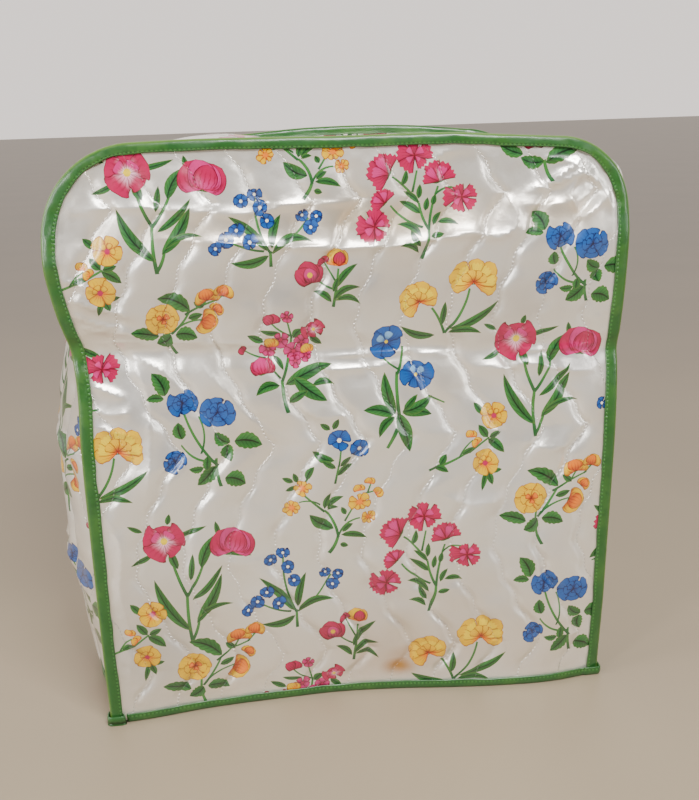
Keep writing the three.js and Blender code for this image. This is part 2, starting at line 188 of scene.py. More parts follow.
def seamLine(panel):
    # Places along a panel's outer edge, up the left side, over the top and down the right side.
    def cornerOf(side):
        sign = (-1, 1)[side]
        radius = panel["corner"][side]
        x = panel["sides"][-1][side + 1] - sign * radius
        return sign, radius, x, float(smooth(panel["top"], x)) - radius

    def sidePoints(side):
        sign, radius, cx, cz = cornerOf(side)
        at = np.linspace(0, lastRow, lastRow * 16 + 1)
        heights = np.interp(at, range(shoulderRow + 1), (rowLeft, rowRight)[side][:shoulderRow + 1])
        arc = radius * math.radians(15)
        climb = np.clip(at - shoulderRow, 0, 1) * (cz - heights + arc)
        z = heights + np.minimum(climb, cz - heights)
        first = np.maximum(climb - (cz - heights), 0) / radius
        angle = first + math.radians(15) * np.clip(at - shoulderRow - 1, 0, None)
        x = np.where(angle > 0, cx + sign * radius * np.cos(angle), smooth(panel["sides"], z, side + 1))
        return x, np.where(angle > 0, cz + radius * np.sin(angle), z)

    leftX, leftZ = sidePoints(0)
    rightX, rightZ = sidePoints(1)
    (_, leftR, leftC, leftH), (_, rightR, rightC, rightH) = cornerOf(0), cornerOf(1)
    topX = np.linspace(leftX[-1], rightX[-1], topSteps * 16 + 1)[1:-1]
    topZ = smooth(panel["top"], topX)
    arcZ = leftH + np.sqrt(np.maximum(leftR ** 2 - (topX - leftC) ** 2, 0))
    topZ = np.where(topX < leftC, arcZ, topZ)
    arcZ = rightH + np.sqrt(np.maximum(rightR ** 2 - (topX - rightC) ** 2, 0))
    topZ = np.where(topX > rightC, arcZ, topZ)
    x = np.concatenate([leftX, topX, rightX[::-1]])
    z = np.concatenate([leftZ, topZ, rightZ[::-1]])
    dx, dz = np.gradient(x), np.gradient(z)
    run = np.hypot(dx, dz)
    length = np.concatenate([[0], np.cumsum(np.hypot(np.diff(x), np.diff(z)))])
    at = np.linspace(0, seamEnd, len(x))
    return {"at": at, "x": x, "z": z, "outX": -dz / run, "outZ": dx / run, "length": length}


def along(seam, at):
    # The seam's place and outward direction at any station number.
    return tuple(np.interp(at, seam["at"], seam[name]) for name in ("x", "z", "outX", "outZ"))


frontSeam, backSeam = seamLine(frontPanel), seamLine(backPanel)

# The pattern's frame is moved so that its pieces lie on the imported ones.
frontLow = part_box("binding_front")[0]
seamDepth = broadDip(frontPanel, frontSeam["x"] - frontSeam["outX"] * coverSizes["sewnEdge"],
                     frontSeam["z"] - frontSeam["outZ"] * coverSizes["sewnEdge"])
shiftX = frontLow[0] / mm - frontSeam["x"].min()
shiftY = frontLow[1] / mm - (seamDepth.min() - coverSizes["ply"] - coverSizes["tape"])
print("pattern moved by", round(float(shiftX), 2), round(float(shiftY), 2), "mm")

# Creases laid on the front: how far each stands out, how wide it is, and its places.
frontCreases = [
    (1.5, 3.2, [(-186, 365), (-147, 370), (-110, 367), (-63, 363), (-37, 367), (19, 367)]),
    (1.9, 3.0, [(-135, 351), (-99, 347), (-31, 340), (29, 338), (79, 344), (100, 341), (111, 346),
                (113, 357), (105, 369), (98, 384), (94, 396)]),
    (1.2, 3.0, [(94, 396), (83, 399), (66, 396), (56, 389)]),
    (1.2, 2.4, [(-28, 264), (6, 264), (41, 263), (87, 257)]),
    (1.1, 2.6, [(-178, 283), (-130, 280), (-80, 277), (-32, 271)]),
    (1.2, 4.0, [(-150, 274), (-128, 262), (-112, 246)]),
    (1.3, 3.0, [(100, 262), (140, 259), (184, 262)]),
    (1.6, 3.0, [(134, 374), (152, 384), (166, 390)]),
    (1.4, 2.6, [(158, 352), (150, 366), (158, 378), (170, 379)]),
    (1.3, 5.0, [(112, 362), (138, 360), (166, 366)]),
    (1.1, 2.2, [(-24, 256), (3, 254), (34, 257)]),
    (1.4, 3.4, [(80, 252), (112, 248), (126, 251), (163, 243), (183, 248)]),
    (2.0, 3.6, [(118, 369), (144, 375), (172, 386)]),
    (1.8, 2.8, [(150, 384), (166, 376), (176, 367), (182, 350)]),
    (1.6, 3.0, [(150, 348), (169, 357), (181, 370)]),
    (1.2, 3.0, [(126, 392), (150, 388), (166, 392)]),
    (1.4, 2.6, [(-188, 327), (-171, 321), (-160, 316)]),
    (1.5, 3.0, [(-188, 315), (-160, 305), (-140, 297)]),
    (1.3, 2.6, [(-184, 305), (-164, 295), (-143, 290)]),
    (1.2, 2.6, [(-180, 294), (-155, 289), (-128, 285)]),
    (1.9, 5.5, [(-146, 272), (-138, 246), (-137, 221), (-140, 193), (-144, 165)]),
    (1.5, 2.8, [(-181, 257), (-162, 249), (-150, 243)]),
    (1.4, 2.8, [(-181, 240), (-162, 234), (-147, 236)]),
    (1.4, 3.0, [(-181, 229), (-161, 222), (-143, 217)]),
    (2.0, 6.0, [(-176, 170), (-164, 139), (-167, 106), (-163, 60), (-170, 25)]),
    (1.0, 4.0, [(-106, 268), (-82, 240), (-60, 214), (-44, 203)]),
    (1.2, 5.0, [(-40, 232), (-20, 222), (2, 226)]),
    (0.9, 4.5, [(60, 160), (84, 150), (110, 154)]),
    (1.1, 4.0, [(120, 195), (140, 188), (160, 192)]),
    (0.8, 5.0, [(20, 92), (52, 84), (88, 90)]),
    (0.8, 5.0, [(-110, 125), (-80, 118), (-52, 126)]),
]
backCreases = [
    (1.3, 3.4, [(-180, 330), (-90, 338), (20, 331), (130, 340), (176, 334)]),
    (1.0, 4.0, [(-150, 250), (-60, 243), (40, 251), (120, 244)]),
    (1.4, 3.0, [(150, 380), (168, 366), (178, 345)]),
    (1.4, 3.0, [(-176, 350), (-160, 366), (-136, 380)]),
]
# Stains on the front, and painted light: warm patches are a painted warm reflection and grey patches are
# painted shade. Each has its kind, place, reach both ways, and how strongly.
frontPanel["stainAndPaintedLight"] = [
    ("stain", 30, 21, 13, 8, 1.0), ("stain", 40, 30, 26, 14, 0.5), ("stain", 25, 34, 70, 32, 0.25),
    ("warm", 20, 355, 80, 13, 0.9), ("warm", -100, 352, 60, 11, 0.6), ("warm", 140, 352, 30, 14, 0.6),
    ("paintedShade", -40, 312, 130, 22, 0.7), ("paintedShade", 120, 300, 50, 26, 0.6), ("paintedShade", -150, 60, 40, 60, 0.7),
    ("paintedShade", 60, 60, 70, 60, 0.3), ("warm", -120, 20, 60, 20, 0.5),
]
# Painted light on the back: a grey patch of painted shade and a warm patch of painted warm reflection.
backPanel["stainAndPaintedLight"] = [("paintedShade", 60, 120, 80, 70, 0.5), ("warm", -70, 330, 90, 40, 0.5)]
stainAndPaintedLightKinds = ("stain", "warm", "paintedShade")
# What all creases share: their strength, how rounded the crest is, how far they reach in widths, and
# the share of their length over which their ends fade.
creaseShape = {"strength": 1.5, "crest": 0.8, "reach": 5, "taper": 0.3}
# The gusset's creases, by place along the strip from its left foot and by place across it.
gussetCreases = [
    (2.0, 7.0, [(60, 20), (96, 70), (110, 130), (86, 205)]),
    (1.8, 6.0, [(210, 15), (190, 60), (205, 120), (180, 200)]),
    (1.6, 4.5, [(330, 14), (345, 60), (338, 120), (352, 205)]),
    (1.6, 4.0, [(395, 20), (420, 80), (410, 150), (430, 205)]),
    (1.4, 6.0, [(520, 60), (600, 80), (690, 70), (740, 90)]),
    (1.6, 4.0, [(760, 20), (745, 90), (752, 150), (736, 205)]),
    (1.6, 5.5, [(880, 20), (900, 90), (890, 160), (905, 205)]),
    (1.6, 6.5, [(1020, 30), (1000, 100), (1030, 190)]),
]


def stainAndPaintedLightAt(patches, x, z):
    # How strongly each kind of stain and painted light lies at each place, from 0 to 1.
    stainAndPaintedLight = np.zeros((len(x), 3))
    for kind, px, pz, wide, tall, strength in patches:
        away = ((x - px) / wide) ** 2 + ((z - pz) / tall) ** 2
        k = stainAndPaintedLightKinds.index(kind)
        stainAndPaintedLight[:, k] = np.maximum(stainAndPaintedLight[:, k], strength * np.exp(-away))
    return stainAndPaintedLight


def rounded(path, parts=5):
    # A smooth line through a crease's points.
    points = np.array(path, float)
    t = np.arange(len(points))
    at = np.linspace(0, len(points) - 1, (len(points) - 1) * parts + 1)
    return np.stack([smooth(list(zip(t, points[:, k])), at) for k in (0, 1)], 1)


def creaseLift(creases, x, z):
    # How far the creases stand out: a thin rounded crest that fades to both sides and both ends.
    lift = np.zeros_like(x)
    crest = creaseShape["crest"]
    for rise, width, path in creases:
        line = rounded(path)
        reach = creaseShape["reach"] * width
        near = ((x > line[:, 0].min() - reach) & (x < line[:, 0].max() + reach)
                & (z > line[:, 1].min() - reach) & (z < line[:, 1].max() + reach))
        if not near.any():
            continue
        px, pz = x[near], z[near]
        best = np.full(len(px), 1e9)
        place = np.zeros(len(px))
        total = np.hypot(*np.diff(line, axis=0).T).sum()
        gone = 0.0
        for (ax, az), (bx, bz) in zip(line[:-1], line[1:]):
            length = math.hypot(bx - ax, bz - az)
            t = np.clip(((px - ax) * (bx - ax) + (pz - az) * (bz - az)) / length ** 2, 0, 1)
            distance = np.hypot(px - ax - t * (bx - ax), pz - az - t * (bz - az))
            closer = distance < best
            best[closer] = distance[closer]
            place[closer] = gone + t[closer] * length
            gone += length
        away = (np.sqrt(best ** 2 + crest ** 2) - crest) / width
        taper = ease(np.minimum(place, total - place) / (creaseShape["taper"] * total) + 0.1)
        lift[near] += creaseShape["strength"] * rise * np.exp(-away) * taper
    return lift


def channelPlace(across, height, start, spacing):
    # A place across the quilting in channels: whole numbers are its stitched lines.
    return (across - start - zigzag(height)) / spacing


def quiltLift(channel, height, spacing, seed):
    # How far the cloth puffs out between two stitched lines, with small puckers beside the stitches.
    away = np.abs(channel - np.round(channel)) * spacing
    puff = 1 - 1 / (1 + (away / quilting["valley"]) ** 2)
    uneven = 0.85 + quilting["uneven"] * softNoise(channel + 7, height / 34, seed)
    pucker = softNoise(channel * 3, height / 6.5, seed + 1) * np.exp(-away / quilting["puckerReach"])
    drape = quilting["drape"] * softNoise(channel * 1.3, height / 21, seed + 2)
    return quilting["rise"] * puff * uneven + (quilting["pucker"] * pucker + drape) * puff


def treeOf(x, z):
    # A search tree over flat places, for the distance to the nearest of them.
    tree = KDTree(len(x))
    for k, (a, b) in enumerate(zip(x, z)):
        tree.insert((float(a), float(b), 0), k)
    tree.balance()
    return tree


def distanceTo(tree, x, z):
    return np.array([tree.find((float(a), float(b), 0))[2] for a, b in zip(x, z)])


# The panels' stitched lines, and how they are cut: how far inside the seam they end, the sizes of
# their meshes, and how many points lie along the seam and the hem.
panelField = {"start": -172.6, "spacing": 31.96, "low": 4, "high": 404}
panelCut = {"inset": 2.6, "step": 2.6, "innerStep": 8.0, "seamPoints": 330, "hemPoints": 100,
            "flatRim": 8, "looseRun": 15, "gathers": 0.5}


def panelDetail(x, z, margin, creases, seed):
    # How far the cloth stands out of its broad shape: quilting, creases and loose wrinkles.
    channel = channelPlace(x, z, panelField["start"], panelField["spacing"])
    seamWidth = coverSizes["seamWidth"]
    loose = ease((margin - seamWidth) / panelCut["looseRun"])
    quilt = quiltLift(channel, z, panelField["spacing"], seed)
    gathers = softNoise(x / 5, z / 5, seed + 4) * np.exp(-np.maximum(margin - seamWidth, 0) / seamWidth)
    free = ease((margin - panelCut["flatRim"]) / 6)
    return loose * quilt + free * (creaseLift(creases, x, z) + panelCut["gathers"] * gathers)


def clothMesh(name, outer, inner):
    # Joins a cloth's printed face and its plain inner face, which share one boundary, into a closed sheet.
    count = len(outer["place"])
    place = np.concatenate([outer["place"], inner["place"]])
    normal = np.concatenate([outer["normal"], inner["normal"]])
    edge = outer["edge"]
    wall = []
    for (a, b), (c, d) in zip(edge, inner["edge"] + count):
        wall += [(b, a, c), (b, c, d)]
    faces = np.concatenate([outer["faces"], inner["faces"][:, ::-1] + count, np.array(wall)])
    mesh = bpy.data.meshes.new(name)
    mesh.from_pydata((place * mm).tolist(), [], faces.tolist())
    blank = len(faces) * 3 - outer["tint"].shape[0]
    tint = np.concatenate([outer["tint"], np.zeros((blank, 4))])
    ink = np.concatenate([outer["ink"], np.zeros((blank, 3))])
    cloth = np.concatenate([outer["cloth"], np.full((blank, 2), 0.5)])
    mesh.attributes.new("tint", "FLOAT_COLOR", "CORNER").data.foreach_set("color", tint.ravel())
    mesh.attributes.new("ink", "FLOAT_VECTOR", "CORNER").data.foreach_set("vector", ink.ravel())
    # Per point: stains, and the painted warm reflection and painted shade.
    paintedLightAndStain = np.concatenate([outer["stainAndPaintedLight"], np.zeros((len(inner["place"]), 3))])
    mesh.attributes.new("stainAndPaintedLight", "FLOAT_VECTOR", "POINT").data.foreach_set("vector", paintedLightAndStain.ravel())
    mesh.uv_layers.new(name="cloth").data.foreach_set("uv", cloth.ravel())
    mesh.polygons.foreach_set("use_smooth", np.ones(len(faces), bool))
    mesh.normals_split_custom_set_from_vertices((normal / np.linalg.norm(normal, axis=1)[:, None]).tolist())
    piece = bpy.data.objects.new(name, mesh)
    bpy.context.scene.collection.objects.link(piece)
    return piece


def boundaryOf(faces):
    # The directed edges that only one triangle uses.
    edges = np.concatenate([faces[:, [0, 1]], faces[:, [1, 2]], faces[:, [2, 0]]])
    codes = edges[:, 0] * 10000000 + edges[:, 1]
    back = edges[:, 1] * 10000000 + edges[:, 0]
    return edges[~np.isin(codes, back)]


def gridInside(outline, step):
    # Staggered places for the mesh between the lines, kept off the outline itself.
    low, high = outline.min(0), outline.max(0)
    points = []
    for k, z in enumerate(np.arange(low[1], high[1], step * 0.866)):
        xs = np.arange(low[0] + (k % 2) * step / 2, high[0], step)
        points.append(np.stack([xs, np.full(len(xs), z)], 1))
    points = np.concatenate(points)
    tree = treeOf(outline[:, 0], outline[:, 1])
    return points[distanceTo(tree, points[:, 0], points[:, 1]) > 0.45 * step]


def triangles(points, edges, outlines):
    # Cuts the first outline into triangles along all lines, and tells what each triangle lies under.
    vectors = [Vector(p) for p in points]
    found = delaunay_2d_cdt(vectors, edges, outlines, 1, 1e-4, True)
    places = np.array([tuple(v) for v in found[0]])
    inside = [k for k, sources in enumerate(found[5]) if 0 in sources]
    faces = np.array([found[2][k] for k in inside])
    top = np.array([max(found[5][k]) for k in inside])
    used, packed = np.unique(faces.ravel(), return_inverse=True)
    faces = packed.reshape(-1, 3)
    places = places[used]
    a, b, c = (places[faces[:, k]] for k in range(3))
    turned = (b[:, 0] - a[:, 0]) * (c[:, 1] - a[:, 1]) - (b[:, 1] - a[:, 1]) * (c[:, 0] - a[:, 0]) < 0
    faces[turned] = faces[turned][:, ::-1]
    origin = [found[3][k] for k in used]
    return places, faces, top, origin


def leftward(outline):
    # The outline's points in the order that keeps its inside on the left.
    x, y = np.array(outline).T
    area = (x * np.roll(y, -1) - np.roll(x, -1) * y).sum()
    return outline if area > 0 else outline[::-1]


def cutCloth(outline, step, stitchLines, shapes):
    # Cuts the printed face in the flat: its outline, its stitched lines and each printed shape's edge.
    points = [tuple(p) for p in leftward(outline)]
    outlines = [list(range(len(outline)))]
    edges = []
    for shape in shapes:
        first = len(points)
        points += [tuple(p) for p in leftward(shape["outline"])]
        outlines.append(list(range(first, len(points))))
        first = len(points)
        points += [tuple(p) for p in shape["rib"]]
        edges += [(k, k + 1) for k in range(first, len(points) - 1)]
    for line in stitchLines:
        first = len(points)
        points += [tuple(p) for p in line]
        edges += [(k, k + 1) for k in range(first, len(points) - 1)]
    points += [tuple(p) for p in gridInside(np.array(outline), step)]
    places, faces, top, _ = triangles(points, edges, outlines)
    return places, faces, top


def innerCloth(places, edge, step):
    # The inner face on the same boundary, on a coarser grid.
    loop = [edge[0][0]]
    after = dict(map(tuple, edge))
    while after[loop[-1]] != loop[0]:
        loop.append(after[loop[-1]])
    outline = leftward(places[loop])
    loop = loop if np.array_equal(outline, places[loop]) else loop[::-1]
    points = [tuple(p) for p in outline] + [tuple(p) for p in gridInside(outline, step)]
    inside, faces, _, origin = triangles(points, [], [list(range(len(outline)))])
    match = {}
    for k, sources in enumerate(origin):
        for source in sources:
            match[source] = k
    where = {vertex: match[k] for k, vertex in enumerate(loop)}
    pairs = np.array([(where[a], where[b]) for a, b in edge])
    return inside, faces, pairs


def stitchedLines(count, start, spacing, low, high):
    heights = np.arange(low, high + 1, quilting["lineStep"])
    return [np.stack([start + spacing * k + zigzag(heights), heights], 1) for k in range(-1, count + 2)]


def slopeNormals(height, x, z, sign):
    # Normals of a height field over (x, z) that stands out along -y times the sign.
    step = 0.5
    dx = (height(x + step, z) - height(x - step, z)) / (2 * step)
    dz = (height(x, z + step) - height(x, z - step)) / (2 * step)
    return np.stack([-dx, np.full(len(x), -float(sign)), -dz], 1)


def panelCloth(name, panel, seam, creases, shapes, seed):
    # A panel is cut in the flat, printed, and raised onto its broad shape, quilting and creases.
    inset = panelCut["inset"]
    picks = np.linspace(0, len(seam["at"]) - 1, panelCut["seamPoints"]).astype(int)
    rim = np.stack([seam["x"] - seam["outX"] * inset, seam["z"] - seam["outZ"] * inset], 1)[picks]
    rim[:, 1] = np.maximum(rim[:, 1], foot)
    bottom = np.linspace(rim[-1, 0], rim[0, 0], panelCut["hemPoints"])[1:-1]
    outline = np.concatenate([rim, np.stack([bottom, np.full(len(bottom), foot)], 1)])[::-1]
    lines = stitchedLines(quilting["channels"], panelField["start"], panelField["spacing"],
                          panelField["low"], panelField["high"])
    places, faces, top = cutCloth(outline, panelCut["step"], lines, shapes)
    x, z = places.T
    tree = treeOf(seam["x"], seam["z"])
    sign = panel["inward"]

    def marginAt(x, z):
        return np.minimum(distanceTo(tree, x, z), z + 2)

    def surface(x, z, margin):
        return panelDetail(x, z, margin, creases, seed) - broadDip(panel, x, z)

    margin = marginAt(x, z)
    lift = surface(x, z, margin)
    place = np.stack([x, panel["face"] - sign * lift, z], 1)
    normal = slopeNormals(lambda a, b: surface(a, b, margin), x, z, 1)
    normal[:, 1] *= sign
    tint, ink = printOn(places, faces, top, shapes)
    channel = channelPlace(x, z, panelField["start"], panelField["spacing"])
    cloth = np.stack([channel, z / 100], 1)[faces.ravel()]
    edge = boundaryOf(faces)
    inside, innerFaces, pairs = innerCloth(places, edge, panelCut["innerStep"])
    ix, iz = inside.T
    free = ease((marginAt(ix, iz) - panelCut["flatRim"]) / 6)
    innerLift = free * creaseLift(creases, ix, iz) - broadDip(panel, ix, iz)
    innerPlace = np.stack([ix, panel["face"] - sign * (innerLift - coverSizes["cloth"]), iz], 1)
    innerNormal = slopeNormals(lambda a, b: -broadDip(panel, a, b), ix, iz, 1)
    innerNormal[:, 1] *= sign
    if sign < 0:
        faces, innerFaces = faces[:, ::-1], innerFaces[:, ::-1]
        edge, pairs = edge[:, ::-1], pairs[:, ::-1]
        tint, ink, cloth = (v.reshape(-1, 3, v.shape[1])[:, ::-1].reshape(-1, v.shape[1])
                            for v in (tint, ink, cloth))
    outer = {"place": place, "normal": normal, "faces": faces, "edge": edge, "tint": tint, "ink": ink,
             "cloth": cloth, "stainAndPaintedLight": stainAndPaintedLightAt(panel["stainAndPaintedLight"], x, z)}
    return clothMesh(name, outer, {"place": innerPlace, "normal": -innerNormal, "faces": innerFaces,
                                   "edge": pairs})


# The gusset is cut as one strip: its places run along the front seam and from front to back.
gussetCut = {"flange": 8.1, "step": 2.3, "wall": 203.8, "margin": 1.4, "mesh": 4.2, "innerMesh": 9.0,
             "seamPoints": 380, "endPoints": 76, "looseRun": 14, "swellFade": 0.03}
wallFrom = gussetCut["flange"] + gussetCut["step"]
stripWidth = 2 * wallFrom + gussetCut["wall"]
stripLength = float(frontSeam["length"][-1])
channelWidth = stripWidth / quilting["gussetChannels"]
gussetField = {"start": channelWidth / 2, "spacing": channelWidth, "clear": 4}


def gussetPlace(s, w, lift, inner):
    # The strip's place in space. The lift stands out of its broad shape.
    at = np.interp(s, frontSeam["length"], frontSeam["at"])
    edge = np.minimum(w, stripWidth - w)
    wall = wallInner if inner else wallOuter
    flange = flangeNear if inner else flangeFar
    margin = gussetCut["margin"]
    inFrom = np.where(edge < gussetCut["flange"],
                      margin + edge / gussetCut["flange"] * (wall - margin), wall)
    rise = np.clip((edge - gussetCut["flange"]) / gussetCut["step"], 0, 1)
    through = flange + (wallStart - flange) * rise
    ends = []
    for panel, seam in ((frontPanel, frontSeam), (backPanel, backSeam)):
        x, z, outX, outZ = along(seam, at)
        px, pz = x - outX * inFrom, z - outZ * inFrom
        depth = panel["face"] + panel["inward"] * (broadDip(panel, px, pz) + through)
        ends.append(np.stack([px, depth, pz], 1))
    v = np.clip((w - wallFrom) / gussetCut["wall"], 0, 1)
    place = ends[0] * (1 - v[:, None]) + ends[1] * v[:, None]
    x, z, outX, outZ = along(frontSeam, at)
    out = np.where(at <= lastRow, smooth(leftBulge, z),
                   np.where(at >= seamEnd - lastRow, smooth(rightBulge, z), smooth(topBulge, x)))
    stand = out * np.sin(math.pi * v)
    fade = np.minimum(v / gussetCut["swellFade"], 1) * np.minimum((1 - v) / gussetCut["swellFade"], 1)
    for swell in swells:
        away = np.sqrt((place[:, 0] - swell["x"]) ** 2 + (place[:, 2] - swell["z"]) ** 2
                       + (place[:, 1] - swell["behind"]) ** 2) / swell["reach"]
        stand = stand + swell["rise"] * np.exp(-away ** 2) * fade
    stand = stand + lift * (v > 0) * (v < 1)
    place[:, 0] += outX * stand
    place[:, 2] += outZ * stand
    return place


def gussetLift(s, w, seed=40):
    channel = channelPlace(w, s, gussetField["start"], gussetField["spacing"])
    margin = np.minimum(np.minimum(w, stripWidth - w) - wallFrom, np.minimum(s, stripLength - s) - 6)
    loose = ease(margin / gussetCut["looseRun"])
    return loose * (quiltLift(channel, s, gussetField["spacing"], seed) + creaseLift(gussetCreases, s, w))


def stripNormals(surface, place, s, w):
    # Normals of the strip's surface, from short steps away from its ends and edges.
    step = 0.6
    inward = np.where(w < stripWidth / 2, 1, -1) * step
    acrossWay = (surface(s, w + inward) - place) / inward[:, None]
    onward = np.where(s < stripLength / 2, 1, -1) * step
    alongWay = (surface(s + onward, w) - place) / onward[:, None]
    return np.cross(alongWay, acrossWay)


def gussetCloth(name, shapes):
    sides = np.linspace(0, stripLength, gussetCut["seamPoints"])
    ends = np.linspace(0, stripWidth, gussetCut["endPoints"])
    outline = np.concatenate([
        np.stack([sides, np.zeros(len(sides))], 1),
        np.stack([np.full(len(ends), stripLength), ends], 1)[1:],
        np.stack([sides[::-1], np.full(len(sides), stripWidth)], 1)[1:],
        np.stack([np.zeros(len(ends)), ends[::-1]], 1)[1:-1],
    ])
    wallTo = stripWidth - wallFrom
    folds = [wallFrom - gussetCut["step"], wallFrom, wallTo, wallTo + gussetCut["step"]]
    lines = [np.stack([sides, np.full(len(sides), w)], 1)[1:-1] for w in folds]
    quilted = stitchedLines(quilting["gussetChannels"], gussetField["start"], gussetField["spacing"],
                            gussetField["clear"], stripLength - gussetField["clear"])
    lines += [line[:, ::-1] for line in quilted]
    places, faces, top = cutCloth(outline, gussetCut["mesh"], lines, shapes)
    s, w = places.T

    def surface(s, w):
        return gussetPlace(s, w, gussetLift(s, w), False)

    def innerSurface(s, w):
        return gussetPlace(s, w, np.zeros(len(s)), True)

    place = surface(s, w)
    normal = stripNormals(surface, place, s, w)
    tint, ink = printOn(places, faces, top, shapes)
    channel = channelPlace(w, s, gussetField["start"], gussetField["spacing"])
    cloth = np.stack([channel, s / 100], 1)[faces.ravel()]
    edge = boundaryOf(faces)
    inside, innerFaces, pairs = innerCloth(places, edge, gussetCut["innerMesh"])
    si, wi = inside.T
    inner = innerSurface(si, wi)
    innerNormal = -stripNormals(innerSurface, inner, si, wi)
    outer = {"place": place, "normal": normal, "faces": faces, "edge": edge, "tint": tint, "ink": ink,
             "cloth": cloth, "stainAndPaintedLight": stainAndPaintedLightAt([], s, w)}
    return clothMesh(name, outer, {"place": inner, "normal": innerNormal, "faces": innerFaces,
                                   "edge": pairs})


# Print colours, as on the cloth.
inks = {
    "crimson": "#b4104c", "rose": "#cc2f78", "blush": "#f0bccb", "wine": "#8e1e3c", "gold": "#e6b400",
    "amber": "#ea7a14", "rust": "#b4441f", "lemon": "#f0cc0c", "blue": "#17549e", "navy": "#173a80",
    "sky": "#7fb2dd", "cream": "#f3ead2", "leaf": "#3b7a32", "deep": "#235a2b", "light": "#8fae52",
}
# Printed marks: how a shape's inside is drawn.
leafMark, petalMark, plainMark = 1.0, 0.7, 0.4


def linear(colour):
    parts = [int(colour[k:k + 2], 16) / 255 for k in (1, 3, 5)]
    return [v / 12.92 if v <= 0.04045 else ((v + 0.055) / 1.055) ** 2.4 for v in parts]


# Half widths of the printed forms along their length, both from 0 to 1.
def leafWidth(a):
    return a ** 0.7 * (1 - a) ** 0.9 / 0.334


def toothedWidth(a):
    return leafWidth(a) * (0.9 + 0.22 * np.abs(np.mod(a * 5, 1) - 0.5) * 2)


def stemWidth(a):
    return 0.75 + 0.25 * (1 - a) + 0 * a


def petalWidth(a):
    return a ** 0.8 * np.sqrt(np.clip(1 - a ** 5, 0, 1)) / 0.72


def ruffledWidth(a):
    return petalWidth(a) * (1 + 0.09 * np.sin(a * 19))


def fringedWidth(a):
    return 0.1 + 0.9 * a ** 0.9


def discWidth(a):
    return np.sqrt(np.clip(1 - (2 * a - 1) ** 2, 0, 1))


def cupWidth(a):
    return a ** 0.45 * (1 - a) ** 0.6 / 0.492


forms = {"leaf": leafWidth, "toothed": toothedWidth, "stem": stemWidth, "petal": petalWidth,
         "ruffled": ruffledWidth, "fringed": fringedWidth, "disc": discWidth, "cup": cupWidth}
formNames = list(forms)
blunt = {"stem": 0.0, "fringed": 0.12}


def addShape(shapes, form, start, reach, side, bend, inner, outer, mark, steps=8):
    # A printed shape from its start along its reach, with its half width as a sideways vector.
    start, reach, side = (np.array(v, float) for v in (start, reach, side))
    a = np.linspace(0, 1, steps + 1) ** (0.8 if form in ("petal", "cup", "ruffled") else 1)
    half = forms[form](a)
    curve = bend * 4 * a * (1 - a)

    def at(a, b):
        return start + np.outer(a, reach) + np.outer(b, side)

    if form in blunt:
        rows = np.linspace(1, -1, 9 if form == "fringed" else 2)
        tip = 1 - blunt[form] * (np.arange(len(rows)) % 2) - blunt[form] * rows ** 2
        outline = [*at(a[:-1], (curve + half)[:-1]), *at(tip, rows * half[-1]),
                   *at(a[-2::-1], (curve - half)[-2::-1])]
    else:
        outline = [*at(a, curve + half), *at(a[-2:0:-1], (curve - half)[-2:0:-1])]
    rib = at(a[1:-1], curve[1:-1])[::1 if math.hypot(*reach) > 6 else 3]
    shapes.append({"form": formNames.index(form), "start": start, "reach": reach, "side": side,
                   "bend": bend, "inner": linear(inks[inner]), "outer": linear(inks[outer]),
                   "mark": mark, "outline": outline, "rib": rib})


def turned(angle, length=1.0):
    return np.array([math.cos(angle), math.sin(angle)]) * length


def addLeaf(shapes, turn, row, form="leaf", inner="deep", outer="leaf"):
    # A leaf or a stem from its row, with its width and bend across its own direction.
    x0, y0, x1, y1, width, bend = row
    start = turn @ np.array([x0, y0, 1.0])
    reach = turn[:, :2] @ np.array([x1 - x0, y1 - y0])
    hand = np.sign(np.linalg.det(turn[:, :2]))
    side = np.array([-reach[1], reach[0]]) / np.hypot(*reach) * width / 2 * hand
    size = math.hypot(*reach)
    steps = 16 if form == "toothed" else int(np.clip(size / 2.5, 5, 12))
    addShape(shapes, form, start, reach, side, 2 * bend / width, inner, outer,
             plainMark if form == "stem" else leafMark, steps)


